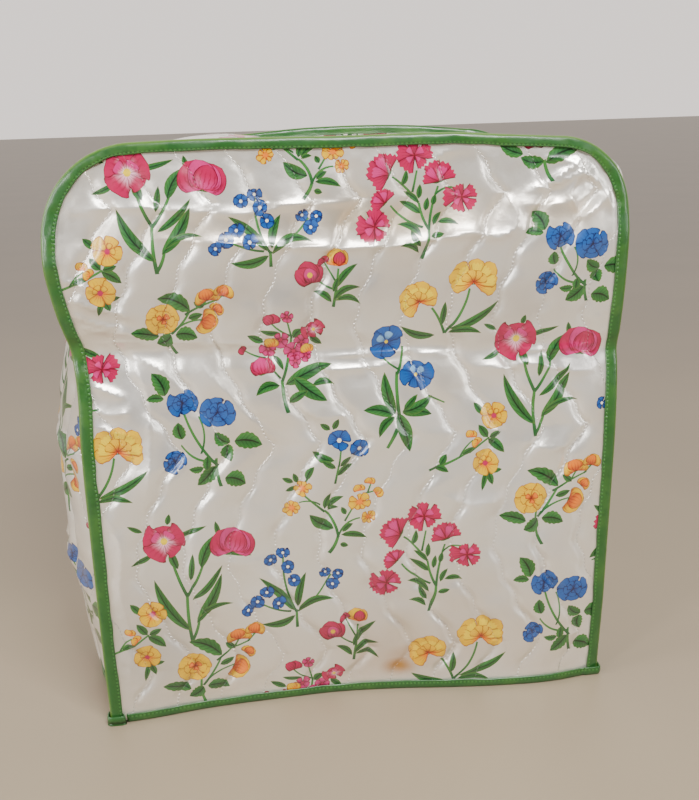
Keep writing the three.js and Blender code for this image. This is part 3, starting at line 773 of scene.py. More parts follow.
# Flower heads: each ring has a number of petals, its reach and petal width as shares of the head's
# radius, the fan that it fills in degrees, its petals' form, and their colours from inside to rim.
heads = {
    "bloom": {
        "rings": [(5, 1.0, 0.62, 360, "ruffled", "blush", "crimson"),
                  (2, 0.66, 0.6, 80, "petal", "cream", "rose")],
        "eye": ("lemon", 0.15), "squash": 0.7,
    },
    "cup": {
        "rings": [(2, 1.0, 0.62, 64, "cup", "rose", "crimson"),
                  (2, 0.92, 0.5, 30, "cup", "crimson", "rose"),
                  (1, 0.8, 0.5, 0, "cup", "rose", "crimson")],
        "low": 0.9, "sepals": True, "squash": 0.85,
    },
    "speck": {
        "rings": [(5, 1.0, 0.56, 360, "petal", "navy", "blue")],
        "eye": ("cream", 0.22), "squash": 0.9,
    },
    "daisy": {
        "rings": [(7, 1.0, 0.36, 360, "ruffled", "amber", "gold")],
        "eye": ("amber", 0.26), "squash": 0.85,
    },
    "fringe": {
        "rings": [(5, 1.0, 0.56, 360, "fringed", "wine", "crimson"),
                  (4, 0.55, 0.5, 360, "fringed", "crimson", "rose")],
        "squash": 0.86,
    },
    "sideFringe": {
        "rings": [(4, 1.0, 0.5, 130, "fringed", "wine", "crimson"),
                  (2, 0.8, 0.4, 60, "fringed", "crimson", "rose")],
        "low": 0.5, "sepals": True,
    },
    "ruffle": {
        "rings": [(7, 1.0, 0.36, 220, "ruffled", "amber", "gold"),
                  (5, 0.8, 0.36, 150, "fringed", "amber", "lemon"),
                  (4, 0.52, 0.4, 120, "ruffled", "rust", "gold")],
        "low": 0.35, "sepals": True, "squash": 0.82,
    },
    "briar": {
        "rings": [(6, 1.0, 0.5, 360, "ruffled", "navy", "blue"),
                  (5, 0.7, 0.5, 360, "ruffled", "navy", "blue"),
                  (3, 0.4, 0.5, 360, "ruffled", "navy", "blue")],
        "squash": 0.84,
    },
    "flame": {
        "rings": [(2, 1.0, 0.5, 34, "cup", "amber", "gold"),
                  (1, 0.8, 0.42, 0, "cup", "rust", "crimson")],
        "low": 0.8,
    },
    "lip": {
        "rings": [(3, 1.0, 0.5, 80, "cup", "wine", "crimson"), (1, 0.7, 0.5, 0, "cup", "wine", "rose")],
        "low": 0.6, "eye": ("gold", 0.2),
    },
    "pansy": {
        "rings": [(5, 1.0, 0.55, 360, "petal", "amber", "gold"),
                  (3, 0.62, 0.42, 120, "petal", "rust", "gold")],
        "eye": ("crimson", 0.18), "squash": 0.9,
    },
    "roseHead": {
        "rings": [(6, 1.0, 0.55, 360, "ruffled", "amber", "gold"),
                  (5, 0.7, 0.5, 360, "ruffled", "rust", "gold"),
                  (3, 0.4, 0.5, 360, "petal", "rust", "amber")],
        "squash": 0.88,
    },
    "roseBud": {
        "rings": [(2, 1.0, 0.7, 70, "cup", "rust", "gold"), (1, 0.9, 0.6, 0, "cup", "rust", "amber")],
        "low": 0.8, "sepals": True,
    },
    "tiny": {
        "rings": [(2, 1.0, 0.6, 60, "cup", "wine", "crimson")],
        "low": 0.8,
    },
    "small": {
        "rings": [(5, 1.0, 0.5, 360, "petal", "wine", "rose")],
        "eye": ("crimson", 0.2),
    },
    "ball": {
        "rings": [(3, 1.0, 0.5, 60, "cup", "wine", "crimson"),
                  (1, 0.9, 0.5, 0, "cup", "crimson", "rose")],
        "low": 1.0, "sepals": True,
    },
    "goldBud": {
        "rings": [(2, 1.0, 0.6, 50, "cup", "amber", "gold")],
        "low": 1.0,
    },
    "wide": {
        "rings": [(6, 1.0, 0.52, 360, "ruffled", "navy", "blue"),
                  (2, 0.7, 0.4, 70, "petal", "blue", "sky")],
        "eye": ("lemon", 0.1), "squash": 0.85,
    },
}


# How unevenly petals lie: their turn in degrees, length, width and bend, by whether they fill a ring
# or a fan; and how the petals of a fan shorten towards its sides.
petalSway = {"turn": 7, "fanTurn": 5, "length": 0.14, "fanLength": 0.08, "width": 0.12, "bend": 0.2,
             "fanDroop": 0.12, "ringTwist": 31}
sepalShape = {"fans": (-62, -29, 29, 62), "long": 0.95, "wide": 0.14, "drop": 0.12}


def addHead(shapes, turn, row):
    # A flower head: its sepals, its rings of petals from the outside in, and its eye.
    kind, x, y, size, facing = row
    head = heads[kind]
    centre = turn @ np.array([x, y, 1.0])
    hand = np.sign(np.linalg.det(turn[:, :2]))
    spin = math.atan2(turn[1, 1], turn[0, 1]) - math.pi / 2 + hand * math.radians(facing)
    radius = size / 2 * math.hypot(*turn[:, 0])
    low = head.get("low", 0)
    right, upward = turned(spin), turned(spin + math.pi / 2, head.get("squash", 1))
    root = centre - upward * low * radius
    reach = radius * (1 + low)
    chance = np.random.RandomState(int(size * 7 + abs(x) * 3 + abs(y)))

    def way(degrees):
        angle = math.radians(90 + degrees)
        return right * math.cos(angle) + upward * math.sin(angle)

    if head.get("sepals"):
        for degrees in sepalShape["fans"]:
            ahead = way(degrees)
            side = np.array([-ahead[1], ahead[0]])
            base = root - upward * sepalShape["drop"] * radius
            addShape(shapes, "leaf", base, ahead * radius * sepalShape["long"],
                     side * radius * sepalShape["wide"], petalSway["bend"], "deep", "leaf", leafMark, 5)
    for number, (count, share, wide, fan, form, inner, outer) in enumerate(head["rings"]):
        for k in range(count):
            uneven = chance.uniform(-1, 1, 4)
            if fan == 360:
                twist = number * petalSway["ringTwist"]
                degrees = twist + 360 * k / count + petalSway["turn"] * uneven[0]
                length = radius * share * (1 + petalSway["length"] * uneven[1])
            else:
                offset = (k - (count - 1) / 2) * fan / max(count - 1, 1)
                droop = petalSway["fanDroop"] * abs(offset) / 60
                degrees = offset + petalSway["fanTurn"] * uneven[0]
                length = reach * share * (1 - droop + petalSway["fanLength"] * uneven[1])
            ahead = way(degrees)
            half = length * wide * (1 + petalSway["width"] * uneven[2])
            side = np.array([-ahead[1], ahead[0]]) * half
            addShape(shapes, form, root, ahead * length, side, petalSway["bend"] * uneven[3], inner, outer,
                     petalMark, 9 if size > 14 else 6)
    if "eye" in head:
        colour, share = head["eye"]
        r = radius * share
        addShape(shapes, "disc", centre - np.array([r, 0]), (2 * r, 0), (0, r), 0, colour, colour,
                 plainMark, 5)


# Each sprig grows from (0, 0), millimetres. Stems and leaves run from one place to another, with
# a width and a sideways bend; heads have a kind, a place, a size and a turn in degrees.
sprigs = {
    "pinkPair": {
        "stems": [(0, 0, -1, 41, 1.8, 1), (-1, 38, -10, 70, 1.6, 1), (-1, 38, 12, 64, 1.5, -1),
                  (0, 2, 6, 20, 1.6, -1)],
        "leaves": [(0, 10, -23, 54, 8, 4), (2, 50, 5, 71, 4.5, 0), (2, 34, 25, 60, 5, -2),
                   (4, 16, 24, 53, 8, -2), (6, 20, 31, 29, 4, 4), (10, 60, 22, 84, 8, 2),
                   (-6, 60, -10, 76, 6, 1), (-10, 84, 16, 91, 4, -1), (-22, 74, -38, 66, 4, 1),
                   (-28, 90, -38, 96, 3.5, 0), (-11, 94, -9, 102, 4, 0), (26, 68, 46, 65, 4, 1),
                   (24, 82, 22, 94, 4, 0)],
        "heads": [("bloom", -14, 82, 34, 8), ("cup", 35, 78, 25, -12)],
    },
    "forgetMeNots": {
        "stems": [(0, 0, 0, 14, 1.6, 0), (0, 12, -8, 58, 1.2, 3), (-4, 14, -30, 27, 1.1, 2),
                  (1, 12, 26, 40, 1.1, -2)],
        "leaves": [(-2, 14, -26, 44, 6, -2), (1, 16, 8, 44, 6, 2), (1, 12, 28, 20, 6, 6),
                   (-1, 10, -26, 5, 6.5, 3)],
        "heads": [("speck", -8, 61, 9.5, 0), ("speck", -17, 56, 10, 20), ("speck", -5, 50, 11, 40),
                  ("speck", -1, 39, 10.5, 10), ("speck", -21, 32, 10, 15), ("speck", -28, 25, 11, 50),
                  ("speck", -35, 18, 9.5, 30), ("speck", -13, 22, 11, 5), ("speck", 22, 42, 8.5, 30),
                  ("speck", 31, 41, 9.5, 0), ("speck", 27, 32, 10, 25)],
    },
    "yellowSpray": {
        "stems": [(0, 0, 7, 14, 1.8, -1), (7, 12, -2, 33, 1.5, -2), (-2, 32, -16, 46, 1.2, 0),
                  (7, 13, 23, 26, 1.1, 3), (12, 24, 18, 34, 1, 0), (-5, 38, -20, 41, 0.9, -2),
                  (26, 44, 36, 46, 0.9, 0), (29, 45, 32, 53, 0.9, 0), (-15, 55, -10, 63, 1, 0)],
        "leaves": [(-20, 55, -23, 63, 4, 0), (-23, 56, -31, 60, 4, 0), (-21, 52, -29, 50, 4, 0),
                   (-14, 57, -8, 67, 5, 1), (-2, 34, 3, 46, 4.5, 1), (0, 34, 12, 43, 4.5, 2),
                   (0, 33, 8, 35, 3, 1), (4, 19, -13, 31, 9, 2), (13, 29, 10, 35, 4, 0),
                   (10, 16, 18, 22, 4.5, 1), (9, 14, 28, 9, 5, 2), (8, 7, 14, 5, 4, 0)],
        "heads": [("daisy", -25, 37, 14, 10), ("daisy", -17, 51, 13, 30), ("daisy", 23, 38, 16, 5),
                  ("daisy", 29, 26, 12, 40), ("goldBud", 23, 49, 5.5, 10), ("goldBud", 31, 54, 5.5, -10),
                  ("goldBud", 37, 45, 6.5, -60)],
    },
    "dianthus": {
        "stems": [(0, 0, 5, 23, 1.7, -1), (5, 22, -1, 42, 1.4, 1), (-1, 42, -18, 62, 1.2, -1),
                  (5, 22, 12, 54, 1.3, 1), (10, 48, 24, 52, 1, 2), (1, 24, -20, 41, 1.2, 2),
                  (-5, 50, -2, 66, 1.1, 0)],
        "leaves": [(-2, 5, -15, 11, 4.5, -3), (-1, 10, -7, 23, 4.5, 1), (0, 17, -16, 27, 5, -3),
                   (0, 34, -14, 44, 5, -1), (-1, 42, -11, 51, 4, -1), (-1, 45, 0, 56, 4, 0),
                   (3, 36, 5, 46, 4, 0), (6, 17, 15, 19, 4, 0), (8, 25, 14, 35, 4, 1), (11, 27, 25, 25, 4, 2),
                   (8, 40, 10, 48, 4, 0), (-12, 55, -9, 67, 4, -1)],
        "heads": [("sideFringe", -25, 67, 21, 55), ("fringe", -3, 77, 24, 6),
                  ("sideFringe", 12, 63, 19, 10), ("fringe", 28, 45, 24, 18), ("sideFringe", -26, 46, 14, 40),
                  ("fringe", -31, 26, 26, 0)],
    },
    "blueBriar": {
        "stems": [(0, 0, -2, 20, 1.7, 1), (-2, 18, -25, 31, 1.2, 4), (-1, 14, -22, 55, 1.4, 3),
                  (-12, 24, -12, 50, 1, -3), (-2, 12, -9, 14, 1, 0)],
        "toothed": [(-33, 66, -41, 82, 11, -2), (-34, 64, -46, 64, 6, -1), (-24, 35, -26, 47, 9, 1),
                    (8, 30, -2, 38, 9, 2), (7, 29, 8, 17, 9, -2), (11, 31, 30, 27, 12, 2),
                    (3, 6, 17, 0, 12, 2),
                    (-3, 14, -16, 2, 10, 1), (-9, 12, -8, 22, 6, 0), (-11, 14, -21, 14, 5, 1)],
        "heads": [("briar", 1, 52, 24, 0), ("briar", -22, 60, 20, 20), ("briar", -30, 20, 17, 40)],
    },
    "tulips": {
        "stems": [(0, 0, 2, 14, 1.5, 0), (2, 12, 4, 30, 1.2, 0), (1, 14, -12, 24, 1, 1),
                  (2, 20, -5, 35, 0.9, 0)],
        "leaves": [(2, 15, 17, 33, 5, 2), (0, 5, 19, 14, 5, 4), (1, 5, 19, 0, 4.5, 4),
                   (-1, 4, -13, 13, 5, -2), (0, 12, 4, 24, 4, 0)],
        "heads": [("flame", 5, 38, 14, -4), ("lip", -15, 26, 19, 12), ("tiny", -6, 37, 6, 20)],
    },
    "marigolds": {
        "stems": [(0, 0, -10, 20, 1.4, -1), (0, 0, 17, 33, 1.4, -3)],
        "leaves": [(4, 3, 39, 23, 6, -3), (-7, -1, -32, 7, 6, 3), (3, 0, 27, -1, 5, 3),
                   (-2, 6, 0, 24, 5, 0)],
        "heads": [("ruffle", -21, 28, 27, 28), ("ruffle", 20, 42, 33, -4)],
    },
    "pansies": {
        "stems": [(0, 0, 29, 12, 1.3, -1), (29, 11, 44, 21, 1.2, 0), (22, 8, 32, 20, 0.9, 1)],
        "leaves": [(43, 21, 36, 31, 6, 0), (43, 20, 55, 9, 7, 1), (44, 21, 53, 24, 5, 0),
                   (42, -3, 38, -18, 4, 0), (43, -4, 46, -14, 5, 0), (44, -4, 53, -3, 4, 0),
                   (40, 38, 33, 47, 5, 0), (4, 2, 14, -2, 5, 1), (8, 3, 13, 11, 5, 0),
                   (24, 10, 33, 15, 4, 0)],
        "heads": [("pansy", 48, 36, 21, -25), ("pansy", 41, 2, 21, 15), ("goldBud", 31, 25, 6, 0),
                  ("goldBud", 34, 19, 6, 40)],
    },
    "roses": {
        "stems": [(0, 0, -5, 18, 1.6, 1), (-5, 17, -4, 30, 1.4, 0), (-3, 22, 11, 44, 1.2, -1),
                  (8, 42, 33, 56, 1.1, 1), (-1, 25, 20, 36, 1, 2), (21, 50, 25, 58, 1, 0),
                  (31, 55, 37, 61, 1, 0)],
        "leaves": [(22, 49, 15, 55, 5, 0), (10, 38, 21, 42, 5, 0)],
        "toothed": [(-12, 20, -32, 26, 9, -1), (-3, 21, -14, 13, 10, 2), (0, 21, 16, 17, 10, 2),
                    (12, 46, -11, 60, 11, -3)],
        "heads": [("roseHead", -8, 38, 24, 0), ("roseBud", 24, 62, 11, 10),
                  ("roseBud", 37, 65, 10, -10), ("roseBud", 32, 47, 8, -50), ("roseBud", 25, 32, 14, -120)],
    },
    "pinkCluster": {
        "stems": [(0, 0, -3, 26, 2, 1), (-3, 25, 5, 63, 1.4, -1), (-4, 27, -14, 40, 1.1, 0),
                  (5, 60, 2, 74, 1, 0), (4, 62, -10, 74, 1, 1), (-14, 44, -30, 52, 0.9, 1)],
        "leaves": [(-5, 22, -23, 15, 7, -3), (-1, 22, 34, 37, 9, 2), (5, 28, 29, 8, 10, -1),
                   (1, 7, 15, 17, 6, 1), (18, 21, 35, 20, 5, 3), (-3, 65, -18, 67, 4, 1),
                   (-15, 57, -27, 64, 5, 0), (18, 60, 27, 53, 5, 0), (6, 60, 13, 67, 6, 1),
                   (-9, 46, -2, 34, 4, 1), (-12, 46, -23, 38, 4, 4)],
        "heads": [("small", -12, 51, 13, 0), ("small", -3, 59, 13, 30), ("goldBud", -10, 57, 8, 10),
                  ("small", 6, 49, 14, 10), ("small", 7, 41, 10, 40), ("small", 15, 45, 10, 20),
                  ("small", 12, 56, 11, 0), ("goldBud", 17, 51, 7, 0), ("bloom", 21, 66, 17, 30),
                  ("ball", -18, 39, 13, 10), ("tiny", -10, 76, 9, 20), ("small", 2, 78, 9, 0),
                  ("tiny", -31, 52, 6, 60)],
    },
    "anemones": {
        "stems": [(-2, 18, -3, 48, 1.8, 1), (-3, 46, 2, 64, 1.4, -1), (-1, 49, -16, 61, 1, 1),
                  (20, 30, 32, 25, 1, 0), (-4, 10, -12, -3, 2, 0)],
        "leaves": [(-5, 19, -12, 48, 8, 2), (-6, 19, -29, 24, 8, -2), (-5, 18, -18, 5, 6.5, -3),
                   (-3, 20, 5, -7, 10, 1), (0, 20, 22, 18, 8, 2), (0, 21, 23, 30, 8, -2),
                   (1, 22, 12, 32, 5, 0)],
        "heads": [("wide", -10, 68, 27, 20), ("wide", 11, 45, 26, -15)],
    },
    "blueSprig": {
        "stems": [(0, 0, 3, 14, 1.2, 0), (3, 13, 5, 26, 1, 0)],
        "leaves": [(-2, 40, -9, 45, 4.5, 0), (0, 40, 4, 48, 4.5, 0), (0, 18, -15, 25, 6.5, 2),
                   (1, 12, -9, 18, 4.5, 0), (2, 6, 13, 14, 5, 1), (4, 13, 12, 20, 4.5, 0)],
        "heads": [("speck", 4, 32, 15, 0), ("speck", 18, 25, 14, 20)],
    },
    "carnation": {
        "stems": [(-4, -26, -14, -28, 1, 0)],
        "leaves": [(0, 8, -14, 16, 5, 1), (-8, -18, -16, -26, 5, 1)],
        "heads": [("fringe", 0, 0, 25, 10)],
    },
    "rosehips": {
        "stems": [(0, 0, -5, 14, 1.8, 1)],
        "toothed": [(-5, 13, -21, 16, 9, 2), (-19, 18, -35, 25, 8, 1), (-4, 12, 20, 21, 10, 2)],
        "heads": [("lip", -11, 27, 15, 0)],
    },
    "speckLone": {
        "heads": [("speck", 0, 0, 10, 0), ("speck", 8, 7, 10, 20)],
    },
}
# Where the sprigs stand on the front, as on the cloth: kind, across, height, and how wide and tall.
frontSprigs = [
    ("pinkPair", -124, 327, 0.98, 0.78), ("pinkPair", -121, 59, 1, 1), ("pinkPair", 131, 197, 1, 0.87),
    ("forgetMeNots", -51, 328, 1, 0.76), ("forgetMeNots", -45, 62, 1, 1),
    ("yellowSpray", -28, 370, 0.9, 0.77), ("yellowSpray", -20, 120, 1, 1),
    ("dianthus", 49, 328, 1, 0.87), ("dianthus", 52, 67, 1, 1), ("rosehips", 138, 375, 1, 1),
    ("blueBriar", 165, 293, 1, 0.77), ("blueBriar", -93, 178, 1, 1), ("blueBriar", 160, 25, 1, 1),
    ("tulips", -11, 299, 1, 0.86), ("tulips", -4, 29, 1, 1), ("marigolds", 66, 275, 0.95, 0.95),
    ("marigolds", -180, 173, 1, 0.95), ("marigolds", 71, 7, 1, 1), ("pansies", -202, 315, 1, 0.78),
    ("pansies", -195, 50, 1, 1), ("pansies", 53, 178, 1, 1), ("roses", -116, 271, 0.9, 0.66),
    ("roses", -113, 0, 1, 1), ("roses", 136, 115, 1, 0.95), ("pinkCluster", -44, 227, 0.93, 0.86),
    ("pinkCluster", -40, -48, 1, 1), ("anemones", 35, 200, 0.95, 1.05), ("blueSprig", -14, 173, 1, 1),
    ("carnation", -166, 264, 1, 1), ("speckLone", 180, 218, 1, 1), ("carnation", 190, 125, 1, 1),
]
# One repeat of the cloth, and the step from one repeat to the next.
repeat = [
    ("pinkPair", 131, 195), ("forgetMeNots", -45, 62), ("yellowSpray", -20, 120), ("dianthus", 52, 67),
    ("blueBriar", -93, 178), ("tulips", -4, 29), ("marigolds", 71, 7), ("pansies", 53, 178),
    ("roses", -114, 7), ("pinkCluster", -46, 224), ("anemones", 34, 202), ("blueSprig", -14, 173),
    ("rosehips", 10, -20),
]
repeatStep = ((255, -132), (0, 265))
# How far a sprig may reach past its foot: to each side, up and down.
sprigReach = {"side": 45, "up": 90, "down": 5}


def sprigShapes(kind, place, across=(1, 0), up=(0, 1)):
    # A sprig's shapes at its place, with its own across and up directions.
    turn = np.array([[across[0], up[0], place[0]], [across[1], up[1], place[1]]], float)
    shapes = []
    sprig = sprigs[kind]
    for row in sprig.get("stems", []):
        addLeaf(shapes, turn, (*row[:4], 1.5 * row[4], row[5]), "stem", "deep", "leaf")
    for row in sprig.get("toothed", []):
        addLeaf(shapes, turn, row, "toothed", "deep", "leaf")
    for row in sprig.get("leaves", []):
        addLeaf(shapes, turn, row)
    for row in sprig["heads"]:
        addHead(shapes, turn, row)
    return shapes


def repeatPlaces(low, high, shift):
    # The cloth's own repeat laid over a rectangle.
    places = []
    for kind, x, z in repeat:
        for i in range(-4, 5):
            for j in range(-6, 7):
                px = x + shift[0] + i * repeatStep[0][0] + j * repeatStep[1][0]
                pz = z + shift[1] + i * repeatStep[0][1] + j * repeatStep[1][1]
                beside = low[0] - sprigReach["side"] < px < high[0] + sprigReach["side"]
                if beside and low[1] - sprigReach["up"] < pz < high[1] + sprigReach["down"]:
                    places.append((kind, px, pz))
    return places


def printOn(places, faces, top, shapes):
    # Each corner's printed colour and its place within its shape: along, across and from the edge.
    tint = np.zeros((len(faces), 3, 4))
    ink = np.zeros((len(faces), 3, 3))
    printed = top > 0
    if not printed.any():
        return tint.reshape(-1, 4), ink.reshape(-1, 3)
    owner = top[printed] - 1

    def column(key):
        return np.array([shape[key] for shape in shapes])[owner]

    start, reach, side = column("start"), column("reach"), column("side")
    offset = places[faces[printed]] - start[:, None, :]
    length, half = np.hypot(*reach.T), np.hypot(*side.T)
    a = np.clip((offset @ (reach / length[:, None] ** 2)[:, :, None])[..., 0], 0, 1)
    across = (offset @ (side / half[:, None] ** 2)[:, :, None])[..., 0]
    across -= column("bend")[:, None] * 4 * a * (1 - a)
    form = column("form")
    wide = np.zeros_like(a)
    for k, name in enumerate(formNames):
        chosen = form == k
        wide[chosen] = forms[name](a[chosen])
    v = np.clip(across / np.maximum(wide, 0.04), -1, 1)
    rim = np.minimum((1 - np.abs(v)) * wide * half[:, None], np.minimum(a, 1.02 - a) * length[:, None])
    mark = column("mark")
    green = (mark == leafMark)[:, None]
    towards = np.where(green, np.abs(v) ** 1.5, ease(a * 2.1 - 0.2))
    shade = np.where(green, np.where(v < 0, 0.82, 1.12), 1 - 0.18 * np.abs(v) ** 3)
    inner, outer = column("inner")[:, None, :], column("outer")[:, None, :]
    colour = (inner + (outer - inner) * towards[..., None]) * shade[..., None]
    tint[printed, :, :3] = colour
    tint[printed, :, 3] = mark[:, None]
    ink[printed] = np.stack([a, v, rim / 10], -1)
    return tint.reshape(-1, 4), ink.reshape(-1, 3)


# The green tape: where it lies through the seam, how much it puckers and how its edge waves.
tapeShape = {"near": -1.35, "far": 4.9, "step": 2.4, "pucker": 0.5, "puckerLength": 7.0, "wave": 0.35,
             "waveLength": 11.0, "lowest": 0.6}
# Its section, from the front lip's edge round the fold to the back lip's edge: in from the outer
# edge, and through as a share from the near side to the far side.
tapeSection = [
    (9.0, 0.03), (8.3, -0.02), (6.4, -0.05), (4.2, -0.04), (2.4, 0.0), (1.1, 0.08), (0.3, 0.2),
    (0.0, 0.38), (0.0, 0.62), (0.3, 0.8), (1.1, 0.92), (2.4, 1.0), (4.2, 1.03), (6.4, 1.02), (8.3, 1.0),
    (9.0, 0.97),
]
tapeInside = [
    (9.0, 0.83), (4.0, 0.85), (2.2, 0.8), (1.3, 0.62), (1.3, 0.38), (2.2, 0.2), (4.0, 0.15), (9.0, 0.17),
]


def loftMesh(name, rings, closed, coords):
    # A closed solid through rings of points, capped at both ends unless it closes on itself.
    count, wide = rings.shape[:2]
    index = np.arange(count * wide).reshape(count, wide)
    turns = count if closed else count - 1
    faces, uvs = [], []
    for k in range(turns):
        a, b = index[k], index[(k + 1) % count]
        for j in range(wide):
            i = (j + 1) % wide
            faces.append((a[j], b[j], b[i], a[i]))
            across = (j, j, j + 1, j + 1)
            ahead = (k, k + 1, k + 1, k)
            uvs += [(coords[0][m], coords[1][n]) for m, n in zip(across, ahead)]
    if not closed:
        for ring in (index[0], index[-1][::-1]):
            faces.append(tuple(ring))
            uvs += [(0.5, 0.0)] * wide
    mesh = bpy.data.meshes.new(name)
    mesh.from_pydata((rings.reshape(-1, 3) * mm).tolist(), [], [tuple(int(v) for v in f) for f in faces])
    layer = mesh.uv_layers.new(name="cloth")
    layer.data.foreach_set("uv", np.array(uvs, float).ravel())
    mesh.polygons.foreach_set("use_smooth", np.ones(len(faces), bool))
    mesh.update()
    piece = bpy.data.objects.new(name, mesh)
    bpy.context.scene.collection.objects.link(piece)
    bpy.ops.object.select_all(action="DESELECT")
    bpy.context.view_layer.objects.active = piece
    piece.select_set(True)
    bpy.ops.object.mode_set(mode="EDIT")
    bpy.ops.mesh.select_all(action="SELECT")
    bpy.ops.mesh.normals_make_consistent(inside=False)
    bpy.ops.object.mode_set(mode="OBJECT")
    piece.select_set(False)
    return piece


def seamTape(name, panel, seam, seed):
    # Tape folded over a seam's fin, drawn along the seam with puckers where it bends.
    length = seam["length"][-1]
    places = np.linspace(0, length, int(length / tapeShape["step"]))
    at = np.interp(places, seam["length"], seam["at"])
    x, z, outX, outZ = along(seam, at)
    section = tapeSection + tapeInside
    bend = np.abs(np.gradient(np.arctan2(outZ, outX), places))
    tight = np.clip(bend * 60, 0, 1)
    kink = np.exp(-((z - 275) / 30) ** 2) * (x < 0) * panel["folded"]
    strength = tapeShape["pucker"] * (0.5 + 1.2 * tight + 1.6 * kink)
    span = tapeShape["far"] - tapeShape["near"]
    rings = np.zeros((len(places), len(section), 3))
    for j, (inFrom, share) in enumerate(section):
        outside = j < len(tapeSection)
        edge = 1.0 if inFrom > 5 else inFrom / 5
        wave = softNoise(places / tapeShape["puckerLength"], np.full(len(places), inFrom / 4), seed)
        reach = inFrom * np.where(inFrom > 2, 1 - 0.2 * ease((z - 385) / 15), 1)
        if inFrom > 8:
            edgeWave = softNoise(places / tapeShape["waveLength"], np.full(len(places), 3.0), seed + 1)
            reach = reach + tapeShape["wave"] * edgeWave
        px, pz = x - outX * reach, z - outZ * reach
        through = tapeShape["near"] + span * share
        puff = strength * wave * edge * (1 if outside else 0.4)
        through = through - puff if share < 0.5 else through + puff
        depth = panel["face"] + panel["inward"] * (broadDip(panel, px, pz) + through)
        rings[:, j] = np.stack([px, depth, np.maximum(pz, tapeShape["lowest"])], 1)
    widths = np.concatenate([np.linspace(0, 1, len(tapeSection)), np.linspace(1, 0, len(tapeInside) + 1)])
    return loftMesh(name, rings, False, (widths, places / 100))


def planLoop(frontX, backX, height):
    # The hem's lines along the four walls in plan, on the cloth's middle, one after another.
    count = 90
    middle = coverSizes["cloth"] / 2
    xs = np.linspace(frontX[0], frontX[1], count)
    frontRun = np.stack([xs, frontPanel["face"] + broadDip(frontPanel, xs, height) + middle], 1)
    xs = np.linspace(backX[1], backX[0], count)
    backRun = np.stack([xs, backPanel["face"] - broadDip(backPanel, xs, height) - middle], 1)
    sides = []
    for s in (stripLength - height, height):
        w = np.linspace(wallFrom + 1, stripWidth - wallFrom - 1, 60)
        wall = gussetPlace(np.full(len(w), s), w, np.zeros(len(w)), False)
        sides.append(wall[:, :2] + np.array([(-1 if s > height else 1) * middle, 0]))
    return frontRun, sides[0], backRun, sides[1][::-1]


def hemTape(name):
    # The hem's tape runs round the foot and wraps the ends of the four seams with it.
    fin = {"out": 1.6, "in": 10.4, "near": -3.0, "far": 6.8, "round": 2, "thick": 1.9, "height": 4.0}
    frontEnds, backEnds = ([seam["x"][k] for k in (0, -1)] for seam in (frontSeam, backSeam))
    clear = coverSizes["sewnEdge"]
    runs = planLoop((frontEnds[0] + clear, frontEnds[1] - clear), (backEnds[0] + clear, backEnds[1] - clear),
                    fin["height"])
    corners = []
    for panel, x, sign in ((frontPanel, frontEnds[1], 1), (backPanel, backEnds[1], 1),
                           (backPanel, backEnds[0], -1), (frontPanel, frontEnds[0], -1)):
        base = panel["face"] + panel["inward"] * float(broadDip(panel, x - sign * 5, fin["height"]))
        inward = panel["inward"]
        near, far = base + inward * fin["near"], base + inward * fin["far"]
        out, inner = x + sign * fin["out"], x - sign * fin["in"]
        cut = fin["round"]
        loop = [(inner, near), (out - sign * cut, near), (out, near + inward * cut),
                (out, far - inward * cut), (out - sign * cut, far), (inner, far)]
        corners.append(loop if inward > 0 else loop[::-1])
    outside, inside = [], []
    thick = fin["thick"]
    for k, run in enumerate(runs):
        way = np.gradient(run, axis=0)
        way /= np.hypot(*way.T)[:, None]
        outward = np.stack([way[:, 1], -way[:, 0]], 1)
        outside += list(run + outward * thick)
        inside += list(run - outward * thick)
        corner = np.array(corners[k])
        parts = [np.linspace(a, b, 7)[:-1] for a, b in zip(corner[:-1], corner[1:])]
        finer = np.concatenate([*parts, corner[-1:]])
        for _ in range(3):
            finer[1:-1] = (finer[:-2] + 2 * finer[1:-1] + finer[2:]) / 4
        outside += list(finer)
        following = runs[(k + 1) % 4]
        here, there = inside[-1], following[0]
        nextWay = following[1] - following[0]
        nextWay = nextWay / np.hypot(*nextWay)
        there = there - np.array([nextWay[1], -nextWay[0]]) * thick
        inside += list(np.linspace(here, there, len(finer) + 2)[1:-1])
    outside, inside = np.array(outside), np.array(inside)
    count = len(outside)
    run = np.concatenate([[0], np.cumsum(np.hypot(*np.diff(outside, axis=0).T))])
    ahead = np.roll(outside, -1, axis=0) - np.roll(outside, 1, axis=0)
    ahead /= np.hypot(*ahead.T)[:, None]
    out = np.stack([ahead[:, 1], -ahead[:, 0]], 1)
    top = coverSizes["hemHeight"] + 0.5 * softNoise(run / 16, np.full(count, 2.0), 60)
    pucker = 0.3 * softNoise(run / 6, np.full(count, 5.0), 61)

    def ring(line, push, height):
        return np.concatenate([line + out * np.broadcast_to(push, (count,))[:, None],
                               np.broadcast_to(height, (count,))[:, None]], 1)

    rings = np.stack([
        ring(outside, 0.15, top), ring(outside, 0.5 + pucker * 0.5, top - 0.7),
        ring(outside, 0.6 + pucker, 4.6), ring(outside, 0.5 + pucker, 2.4), ring(outside, 0.0, 0.7),
        ring(outside, -0.9, 0.0), ring(inside, 0.9, 0.0), ring(inside, 0.0, 0.7), ring(inside, -0.4, 3.0),
        ring(inside, -0.2, 6.6), ring(inside, 0.4, 6.8), ring(inside, 0.8, 1.6), ring(outside, -0.9, 1.6),
        ring(outside, -0.6, 6.6),
    ], 1)
    widths = np.concatenate([np.linspace(0, 0.25, 6), np.linspace(0.25, 0, 9)])
    return loftMesh(name, rings, True, (widths, np.append(run, run[-1] + 5) / 100))


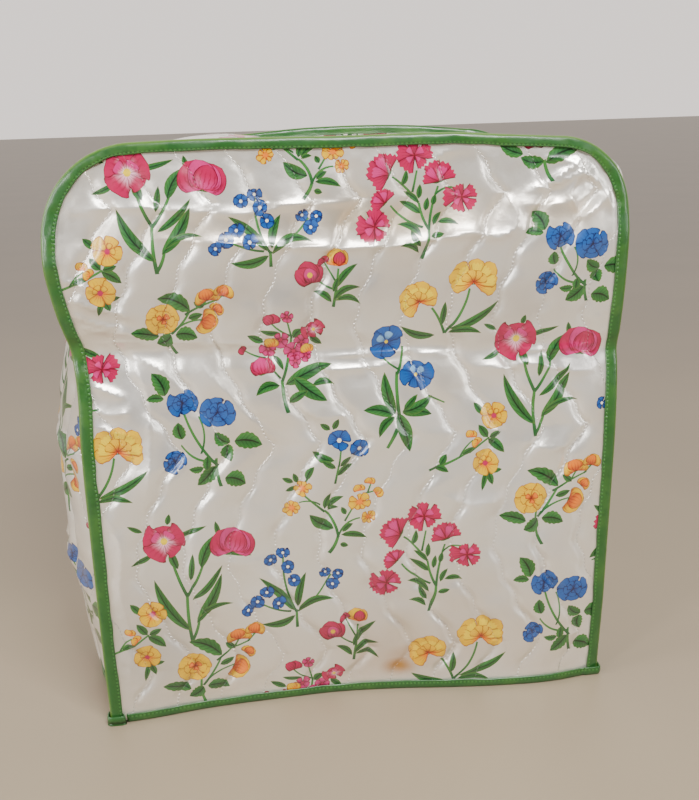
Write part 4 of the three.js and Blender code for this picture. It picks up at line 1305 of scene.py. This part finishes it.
def addNode(tree, kind, **values):
    node = tree.nodes.new("ShaderNode" + kind)
    for name, value in values.items():
        setattr(node, name, value)
    return node


def maths(tree, operation, *parts, clamp=False):
    node = addNode(tree, "Math", operation=operation, use_clamp=clamp)
    for socket, part in zip(node.inputs, parts):
        if isinstance(part, (int, float)):
            socket.default_value = part
        else:
            tree.links.new(part, socket)
    return node.outputs[0]


def mixed(tree, factor, first, second, blend="MIX"):
    node = addNode(tree, "Mix", data_type="RGBA", blend_type=blend)
    for socket, part in zip((node.inputs[0], node.inputs[6], node.inputs[7]), (factor, first, second)):
        if isinstance(part, (int, float)):
            socket.default_value = part
        elif isinstance(part, (tuple, list)):
            socket.default_value = (*part[:3], 1)
        else:
            tree.links.new(part, socket)
    return node.outputs[2]


def ranged(tree, value, low, high, toLow=0.0, toHigh=1.0):
    node = addNode(tree, "MapRange", interpolation_type="SMOOTHSTEP")
    tree.links.new(value, node.inputs[0])
    for socket, number in zip(node.inputs[1:5], (low, high, toLow, toHigh)):
        socket.default_value = number
    return node.outputs[0]


def noise(tree, place, scale, detail=2.0):
    node = addNode(tree, "TexNoise")
    node.inputs["Scale"].default_value = scale
    node.inputs["Detail"].default_value = detail
    tree.links.new(place, node.inputs["Vector"])
    return node.outputs["Fac"]


def newGroup(name, takes, gives):
    group = bpy.data.node_groups.new(name, "ShaderNodeTree")
    for label, kind in takes:
        group.interface.new_socket(name=label, in_out="INPUT", socket_type="NodeSocket" + kind)
    for label, kind in gives:
        group.interface.new_socket(name=label, in_out="OUTPUT", socket_type="NodeSocket" + kind)
    return group, group.nodes.new("NodeGroupInput"), group.nodes.new("NodeGroupOutput")


def times(tree, first, second):
    return maths(tree, "MULTIPLY", first, second)


def apart(tree, value, middle):
    # How far a value lies from a middle one, without its sign.
    return maths(tree, "ABSOLUTE", maths(tree, "SUBTRACT", value, middle))


def bumped(tree, shader, height, strength, depth):
    bump = addNode(tree, "Bump")
    bump.inputs["Strength"].default_value = strength
    bump.inputs["Distance"].default_value = depth
    tree.links.new(height, bump.inputs["Height"])
    tree.links.new(bump.outputs[0], shader.inputs["Normal"])


def finished(tree, shader, spot, look, scale):
    # A finish's roughness, a little uneven, and its clear coat.
    rough = ranged(tree, noise(tree, spot, scale), 0.3, 0.7, look["smoothest"], look["roughest"])
    tree.links.new(rough, shader.inputs["Roughness"])
    shader.inputs["Coat Weight"].default_value = look["coat"]
    shader.inputs["Coat Roughness"].default_value = look["coatRoughness"]


def runningStitch():
    # Stitches along a line, from the place across it and the place along it, both in millimetres.
    takes = [(name, "Float") for name in ("Across", "Along", "Width", "Pitch")]
    group, taken, given = newGroup("runningStitch", takes, [("Thread", "Float"), ("Dent", "Float")])
    across, place, width, pitch = taken.outputs[:4]
    away = maths(group, "DIVIDE", maths(group, "ABSOLUTE", across), width)
    line = maths(group, "SUBTRACT", 1.0, away, clamp=True)
    wave = maths(group, "SINE", times(group, maths(group, "DIVIDE", place, pitch), 2 * math.pi))
    thread = times(group, line, ranged(group, wave, -0.35, 0.35))
    group.links.new(thread, given.inputs["Thread"])
    group.links.new(maths(group, "SUBTRACT", line, thread), given.inputs["Dent"])
    return group


def printedInk():
    # Dark outlines and veins inside a printed shape, from its place along, across and from the edge.
    group, taken, given = newGroup("printedInk",
                                   [("Kind", "Float"), ("Place", "Vector"), ("Object", "Vector")],
                                   [("Ink", "Float"), ("Sheen", "Float")])
    kind, place, spot = taken.outputs[:3]
    parts = addNode(group, "SeparateXYZ")
    group.links.new(place, parts.inputs[0])
    ahead, across, rim = parts.outputs
    away = maths(group, "ABSOLUTE", across)
    wobble = noise(group, spot, 420.0)

    def fineLines(value, thin, wide):
        # A dark line at the middle of every whole number of the value.
        return ranged(group, apart(group, maths(group, "FRACT", value), 0.5), thin, wide, 1.0, 0.0)

    isLeaf = maths(group, "GREATER_THAN", kind, leafMark - 0.15)
    isPetal = times(group, maths(group, "GREATER_THAN", kind, petalMark - 0.15),
                    maths(group, "LESS_THAN", kind, petalMark + 0.15))
    midrib = ranged(group, away, 0.05, 0.16, 1.0, 0.0)
    slant = maths(group, "SUBTRACT", times(group, ahead, 7.0), times(group, away, 1.6))
    leafInk = maths(group, "MAXIMUM", midrib, times(group, fineLines(slant, 0.05, 0.2), 0.45))
    streak = maths(group, "ADD", times(group, across, 2.5), times(group, wobble, 0.8))
    streak = times(group, fineLines(streak, 0.04, 0.22), ranged(group, ahead, 0.25, 0.95, 0.7, 0.0))
    outline = ranged(group, maths(group, "ADD", rim, times(group, wobble, 0.02)), 0.035, 0.1, 1.0, 0.0)
    petalInk = maths(group, "MAXIMUM", streak, outline)
    leafInk = maths(group, "MAXIMUM", leafInk, times(group, outline, 0.6))
    ink = maths(group, "ADD", times(group, isLeaf, leafInk), times(group, isPetal, petalInk))
    group.links.new(ink, given.inputs["Ink"])
    sheen = times(group, isLeaf, ranged(group, rim, 0.0, 0.06, 1.0, 0.0))
    group.links.new(sheen, given.inputs["Sheen"])
    return group


def useGroup(tree, group, **links):
    node = addNode(tree, "Group", node_tree=group)
    for name, value in links.items():
        if isinstance(value, (int, float)):
            node.inputs[name].default_value = value
        else:
            tree.links.new(value, node.inputs[name])
    return node.outputs


# The vinyl's colours and finish, with painted light among them: a painted warm reflection, a painted shade,
# and the painted shade in the stitch dents.
vinylLook = {"pearl": "#f8f3ea", "warm": "#efe0ca", "cool": "#f0ece8", "paintedWarmReflection": "#e0c8a4", "paintedShade": "#cdc7bf",
             "stain": "#cd9440", "thread": (0.93, 0.91, 0.86), "paintedDentShade": (0.55, 0.52, 0.5),
             "darkInk": (0.75, 0.55, 0.65), "inkShare": 0.97, "pearlShare": 0.64, "smoothest": 0.29,
             "roughest": 0.41, "coat": 1.0, "coatRoughness": 0.22, "stitchWidth": 0.55, "stitch": 2.9}
# The tape's, with the place of its stitch row and of its fold as shares of its width. Its rim colour is a
# painted highlight along the fold, and its dark colour also paints shade in the stitch dents.
tapeLook = {"green": "#285825", "bright": "#386528", "dark": "#1e4c20", "thread": "#4f8a41", "rim": "#64862c",
            "smoothest": 0.28, "roughest": 0.44, "coat": 0.3, "coatRoughness": 0.2, "stitchWidth": 0.7,
            "stitch": 2.9, "stitchRow": 0.09, "fold": 0.46, "width": 24.0}


def newMaterial(name):
    # A material with its shader and its place in the object's own frame.
    material = bpy.data.materials.new(name)
    material.use_nodes = True
    tree = material.node_tree
    spot = addNode(tree, "TexCoord").outputs["Object"]
    return material, tree, tree.nodes["Principled BSDF"], spot


def clothMap(tree):
    # The cloth's own map: across in channels or shares of the width, along in steps of 100 mm.
    cloth = addNode(tree, "SeparateXYZ")
    tree.links.new(addNode(tree, "UVMap", uv_map="cloth").outputs[0], cloth.inputs[0])
    return cloth.outputs[0], times(tree, cloth.outputs[1], 100.0)


def vinylGround(tree, spot, stainAndPaintedLight, patchy):
    # The unprinted vinyl: tone that varies at random, a painted warm reflection where the warm patches lie,
    # and painted shade where the grey patches lie.
    pearl, warm, cool, paintedWarmReflection, paintedShade = (linear(vinylLook[name])
                                     for name in ("pearl", "warm", "cool", "paintedWarmReflection", "paintedShade"))
    warmer = ranged(tree, noise(tree, spot, 9.0, 3.0), 0.45, 0.75, 0.0, 0.6)
    cooler = ranged(tree, noise(tree, spot, 23.0), 0.5, 0.8, 0.0, 0.5)
    ground = mixed(tree, cooler, mixed(tree, warmer, pearl, warm), cool)
    ground = mixed(tree, times(tree, stainAndPaintedLight[1], patchy), ground, paintedWarmReflection)
    return mixed(tree, times(tree, stainAndPaintedLight[2], patchy), ground, paintedShade)


def quiltedVinyl(stitch, inkGroup):
    material, tree, shader, spot = newMaterial("quiltedVinyl")
    tint = addNode(tree, "Attribute", attribute_name="tint")
    place = addNode(tree, "Attribute", attribute_name="ink")
    # Stains and painted light from the mesh: stain, painted warm reflection and painted shade.
    paintedLightAndStain = addNode(tree, "Attribute", attribute_name="stainAndPaintedLight")
    stainAndPaintedLight = addNode(tree, "SeparateXYZ")
    tree.links.new(paintedLightAndStain.outputs["Vector"], stainAndPaintedLight.inputs[0])
    kind, printColour = tint.outputs["Alpha"], tint.outputs["Color"]
    patchy = ranged(tree, noise(tree, spot, 26.0, 3.0), 0.3, 0.65, 0.6, 1.0)
    ground = vinylGround(tree, spot, stainAndPaintedLight.outputs, patchy)
    ink = useGroup(tree, inkGroup, Kind=kind, Place=place.outputs["Vector"], Object=spot)
    dark = mixed(tree, 1.0, printColour, printColour, "MULTIPLY")
    dark = mixed(tree, 1.0, dark, vinylLook["darkInk"], "MULTIPLY")
    inked = mixed(tree, times(tree, ink["Ink"], vinylLook["inkShare"]), printColour, dark)
    inked = mixed(tree, times(tree, ink["Sheen"], 0.35), inked, linear(inks["light"]))
    colour = mixed(tree, maths(tree, "GREATER_THAN", kind, 0.2), ground, inked)
    stained = mixed(tree, 1.0, colour, linear(vinylLook["stain"]), "MULTIPLY")
    colour = mixed(tree, times(tree, stainAndPaintedLight.outputs[0], patchy), colour, stained)
    across, ahead = clothMap(tree)
    channel = maths(tree, "SUBTRACT", maths(tree, "FRACT", maths(tree, "ADD", across, 0.5)), 0.5)
    thread = useGroup(tree, stitch, Across=times(tree, channel, panelField["spacing"]), Along=ahead,
                      Width=vinylLook["stitchWidth"], Pitch=vinylLook["stitch"])
    share = ranged(tree, kind, 0.1, 0.3, 0.4, 0.12)
    colour = mixed(tree, times(tree, thread["Thread"], share), colour, vinylLook["thread"])
    # Painted shade in the stitch dents.
    shadow = mixed(tree, 1.0, colour, vinylLook["paintedDentShade"], "MULTIPLY")
    colour = mixed(tree, times(tree, thread["Dent"], 0.4), colour, shadow)
    tree.links.new(colour, shader.inputs["Base Color"])
    relief = maths(tree, "SUBTRACT", times(tree, thread["Thread"], 0.5), times(tree, thread["Dent"], 0.6))
    fine = times(tree, noise(tree, spot, 160.0, 3.0), 0.5)
    bumped(tree, shader, maths(tree, "ADD", relief, fine), 0.7, 0.0008)
    finished(tree, shader, spot, vinylLook, 30.0)
    pearly = ranged(tree, kind, 0.1, 0.3, vinylLook["pearlShare"], 0.0)
    tree.links.new(pearly, shader.inputs["Metallic"])
    return material


def bindingTape(stitch):
    material, tree, shader, spot = newMaterial("bindingTape")
    width, ahead = clothMap(tree)
    green, bright, dark = (linear(tapeLook[name]) for name in ("green", "bright", "dark"))
    colour = mixed(tree, ranged(tree, noise(tree, spot, 45.0, 3.0), 0.4, 0.7), green, bright)
    colour = mixed(tree, ranged(tree, noise(tree, spot, 210.0), 0.5, 0.75, 0.0, 0.6), colour, dark)
    # Painted highlight along the tape's fold, where light catches its rolled edge.
    rim = ranged(tree, apart(tree, width, tapeLook["fold"]), 0.05, 0.19, 0.7, 0.0)
    colour = mixed(tree, rim, colour, linear(tapeLook["rim"]))
    across = times(tree, maths(tree, "SUBTRACT", width, tapeLook["stitchRow"]), tapeLook["width"])
    thread = useGroup(tree, stitch, Across=across, Along=ahead, Width=tapeLook["stitchWidth"],
                      Pitch=tapeLook["stitch"])
    colour = mixed(tree, times(tree, thread["Thread"], 0.6), colour, linear(tapeLook["thread"]))
    # Painted shade in the tape's stitch dents.
    colour = mixed(tree, times(tree, thread["Dent"], 0.5), colour, dark)
    tree.links.new(colour, shader.inputs["Base Color"])
    fine = times(tree, noise(tree, spot, 260.0, 3.0), 0.8)
    bumped(tree, shader, maths(tree, "SUBTRACT", fine, thread["Dent"]), 0.5, 0.0006)
    finished(tree, shader, spot, tapeLook, 60.0)
    return material


def frontShapes():
    return [shape for kind, x, z, wide, tall in frontSprigs
            for shape in sprigShapes(kind, (x, z), (wide, 0), (0, tall))]


def backShapes():
    # Seen from behind, the cloth's across runs the other way.
    places = repeatPlaces((-195, 0), (195, 410), (60, 40))
    return [shape for kind, x, z in places for shape in sprigShapes(kind, (-x, z), (-1, 0), (0, 1))]


def gussetShapes():
    # The print stands upright on both sides and faces the front across the top.
    shapes = []
    shoulder = float(np.interp(lastRow, frontSeam["at"], frontSeam["length"]))
    far = float(np.interp(seamEnd - lastRow, frontSeam["at"], frontSeam["length"]))
    for kind, x, z in repeatPlaces((0, 0), (stripWidth, shoulder - 30), (10, 0)):
        shapes += sprigShapes(kind, (z, stripWidth - x), (0, -1), (1, 0))
    for kind, x, z in repeatPlaces((0, 0), (stripWidth, stripLength - far - 30), (120, 70)):
        shapes += sprigShapes(kind, (stripLength - z, x), (0, 1), (-1, 0))
    for kind, x, z in repeatPlaces((shoulder, 0), (far, stripWidth), (60, 90)):
        if shoulder - 10 < x < far + 10:
            shapes += sprigShapes(kind, (x, z), (1, 0), (0, 1))
    return shapes


def settle(piece, material, node):
    # Moves a piece from the pattern's frame to the cover's, and hands it to the frame.
    piece.data.transform(Matrix.Translation((shiftX * mm, shiftY * mm, 0)))
    piece.data.materials.append(material)
    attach(piece, "root")
    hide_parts(node)


stitch, inkGroup = runningStitch(), printedInk()
vinyl = quiltedVinyl(stitch, inkGroup)
green = bindingTape(stitch)
print("materials made")

frontCloth = panelCloth("quilted_front", frontPanel, frontSeam, frontCreases, frontShapes(), 10)
settle(frontCloth, vinyl, "front_panel")
print("front cut and printed:", len(frontCloth.data.polygons), "faces")
backCloth = panelCloth("quilted_back", backPanel, backSeam, backCreases, backShapes(), 20)
settle(backCloth, vinyl, "back_panel")
print("back cut and printed:", len(backCloth.data.polygons), "faces")
gusset = gussetCloth("quilted_gusset", gussetShapes())
settle(gusset, vinyl, "gusset")
print("gusset cut and printed:", len(gusset.data.polygons), "faces")

frontTape = seamTape("front_tape", frontPanel, frontSeam, 50)
settle(frontTape, green, "binding_front")
backTape = seamTape("back_tape", backPanel, backSeam, 55)
settle(backTape, green, "binding_back")
footTape = hemTape("hem_tape")
settle(footTape, green, "binding_hem")
print("tapes sewn on")

# Soft studio light: places and aims in metres, sizes in metres, powers in watts.
studio = {
    "floor": {"size": 60.0, "colour": "#95866f", "roughness": 0.45},
    "world": {"colour": "#f0e7e1", "front": 0.02, "back": 1.5},
    "aim": (0, -0.1, 0.25),
    "lights": [
        {"name": "overhead", "place": (0.3, -0.95, 1.35), "size": (0.6, 0.35), "power": 31},
        {"name": "window", "place": (-1.0, -1.05, 0.75), "size": (0.2, 0.6), "power": 10},
        {"name": "side", "place": (-1.5, -0.45, 0.7), "size": (0.5, 1.0), "power": 19},
        {"name": "fill", "place": (1.3, -0.9, 0.6), "size": (0.25, 0.7), "power": 6},
    ],
}


def addStudio(setup):
    size = setup["floor"]["size"]
    bpy.ops.mesh.primitive_plane_add(size=size)
    floor = bpy.context.active_object
    floor.name = "floor"
    material, tree, shader, spot = newMaterial("paleFloor")
    base = linear(setup["floor"]["colour"])
    paler = [v * 1.06 for v in base]
    colour = mixed(tree, ranged(tree, noise(tree, spot, 3.0), 0.3, 0.7), base, paler)
    tree.links.new(colour, shader.inputs["Base Color"])
    shader.inputs["Roughness"].default_value = setup["floor"]["roughness"]
    floor.data.materials.append(material)
    world = bpy.data.worlds.new("studio")
    world.use_nodes = True
    sky = world.node_tree
    sky.nodes["Background"].inputs["Color"].default_value = (*linear(setup["world"]["colour"]), 1)
    way = addNode(sky, "SeparateXYZ")
    sky.links.new(addNode(sky, "TexCoord").outputs["Generated"], way.inputs[0])
    glow = ranged(sky, way.outputs[1], -0.4, 0.8, setup["world"]["front"], setup["world"]["back"])
    sky.links.new(glow, sky.nodes["Background"].inputs["Strength"])
    bpy.context.scene.world = world
    for light in setup["lights"]:
        data = bpy.data.lights.new(light["name"], "AREA")
        data.shape = "RECTANGLE"
        data.size, data.size_y = light["size"]
        data.energy = light["power"]
        lamp = bpy.data.objects.new(light["name"], data)
        way = Vector(setup["aim"]) - Vector(light["place"])
        lamp.location = light["place"]
        lamp.rotation_euler = way.to_track_quat("-Z", "Y").to_euler()
        bpy.context.scene.collection.objects.link(lamp)


addStudio(studio)
print("studio lit")
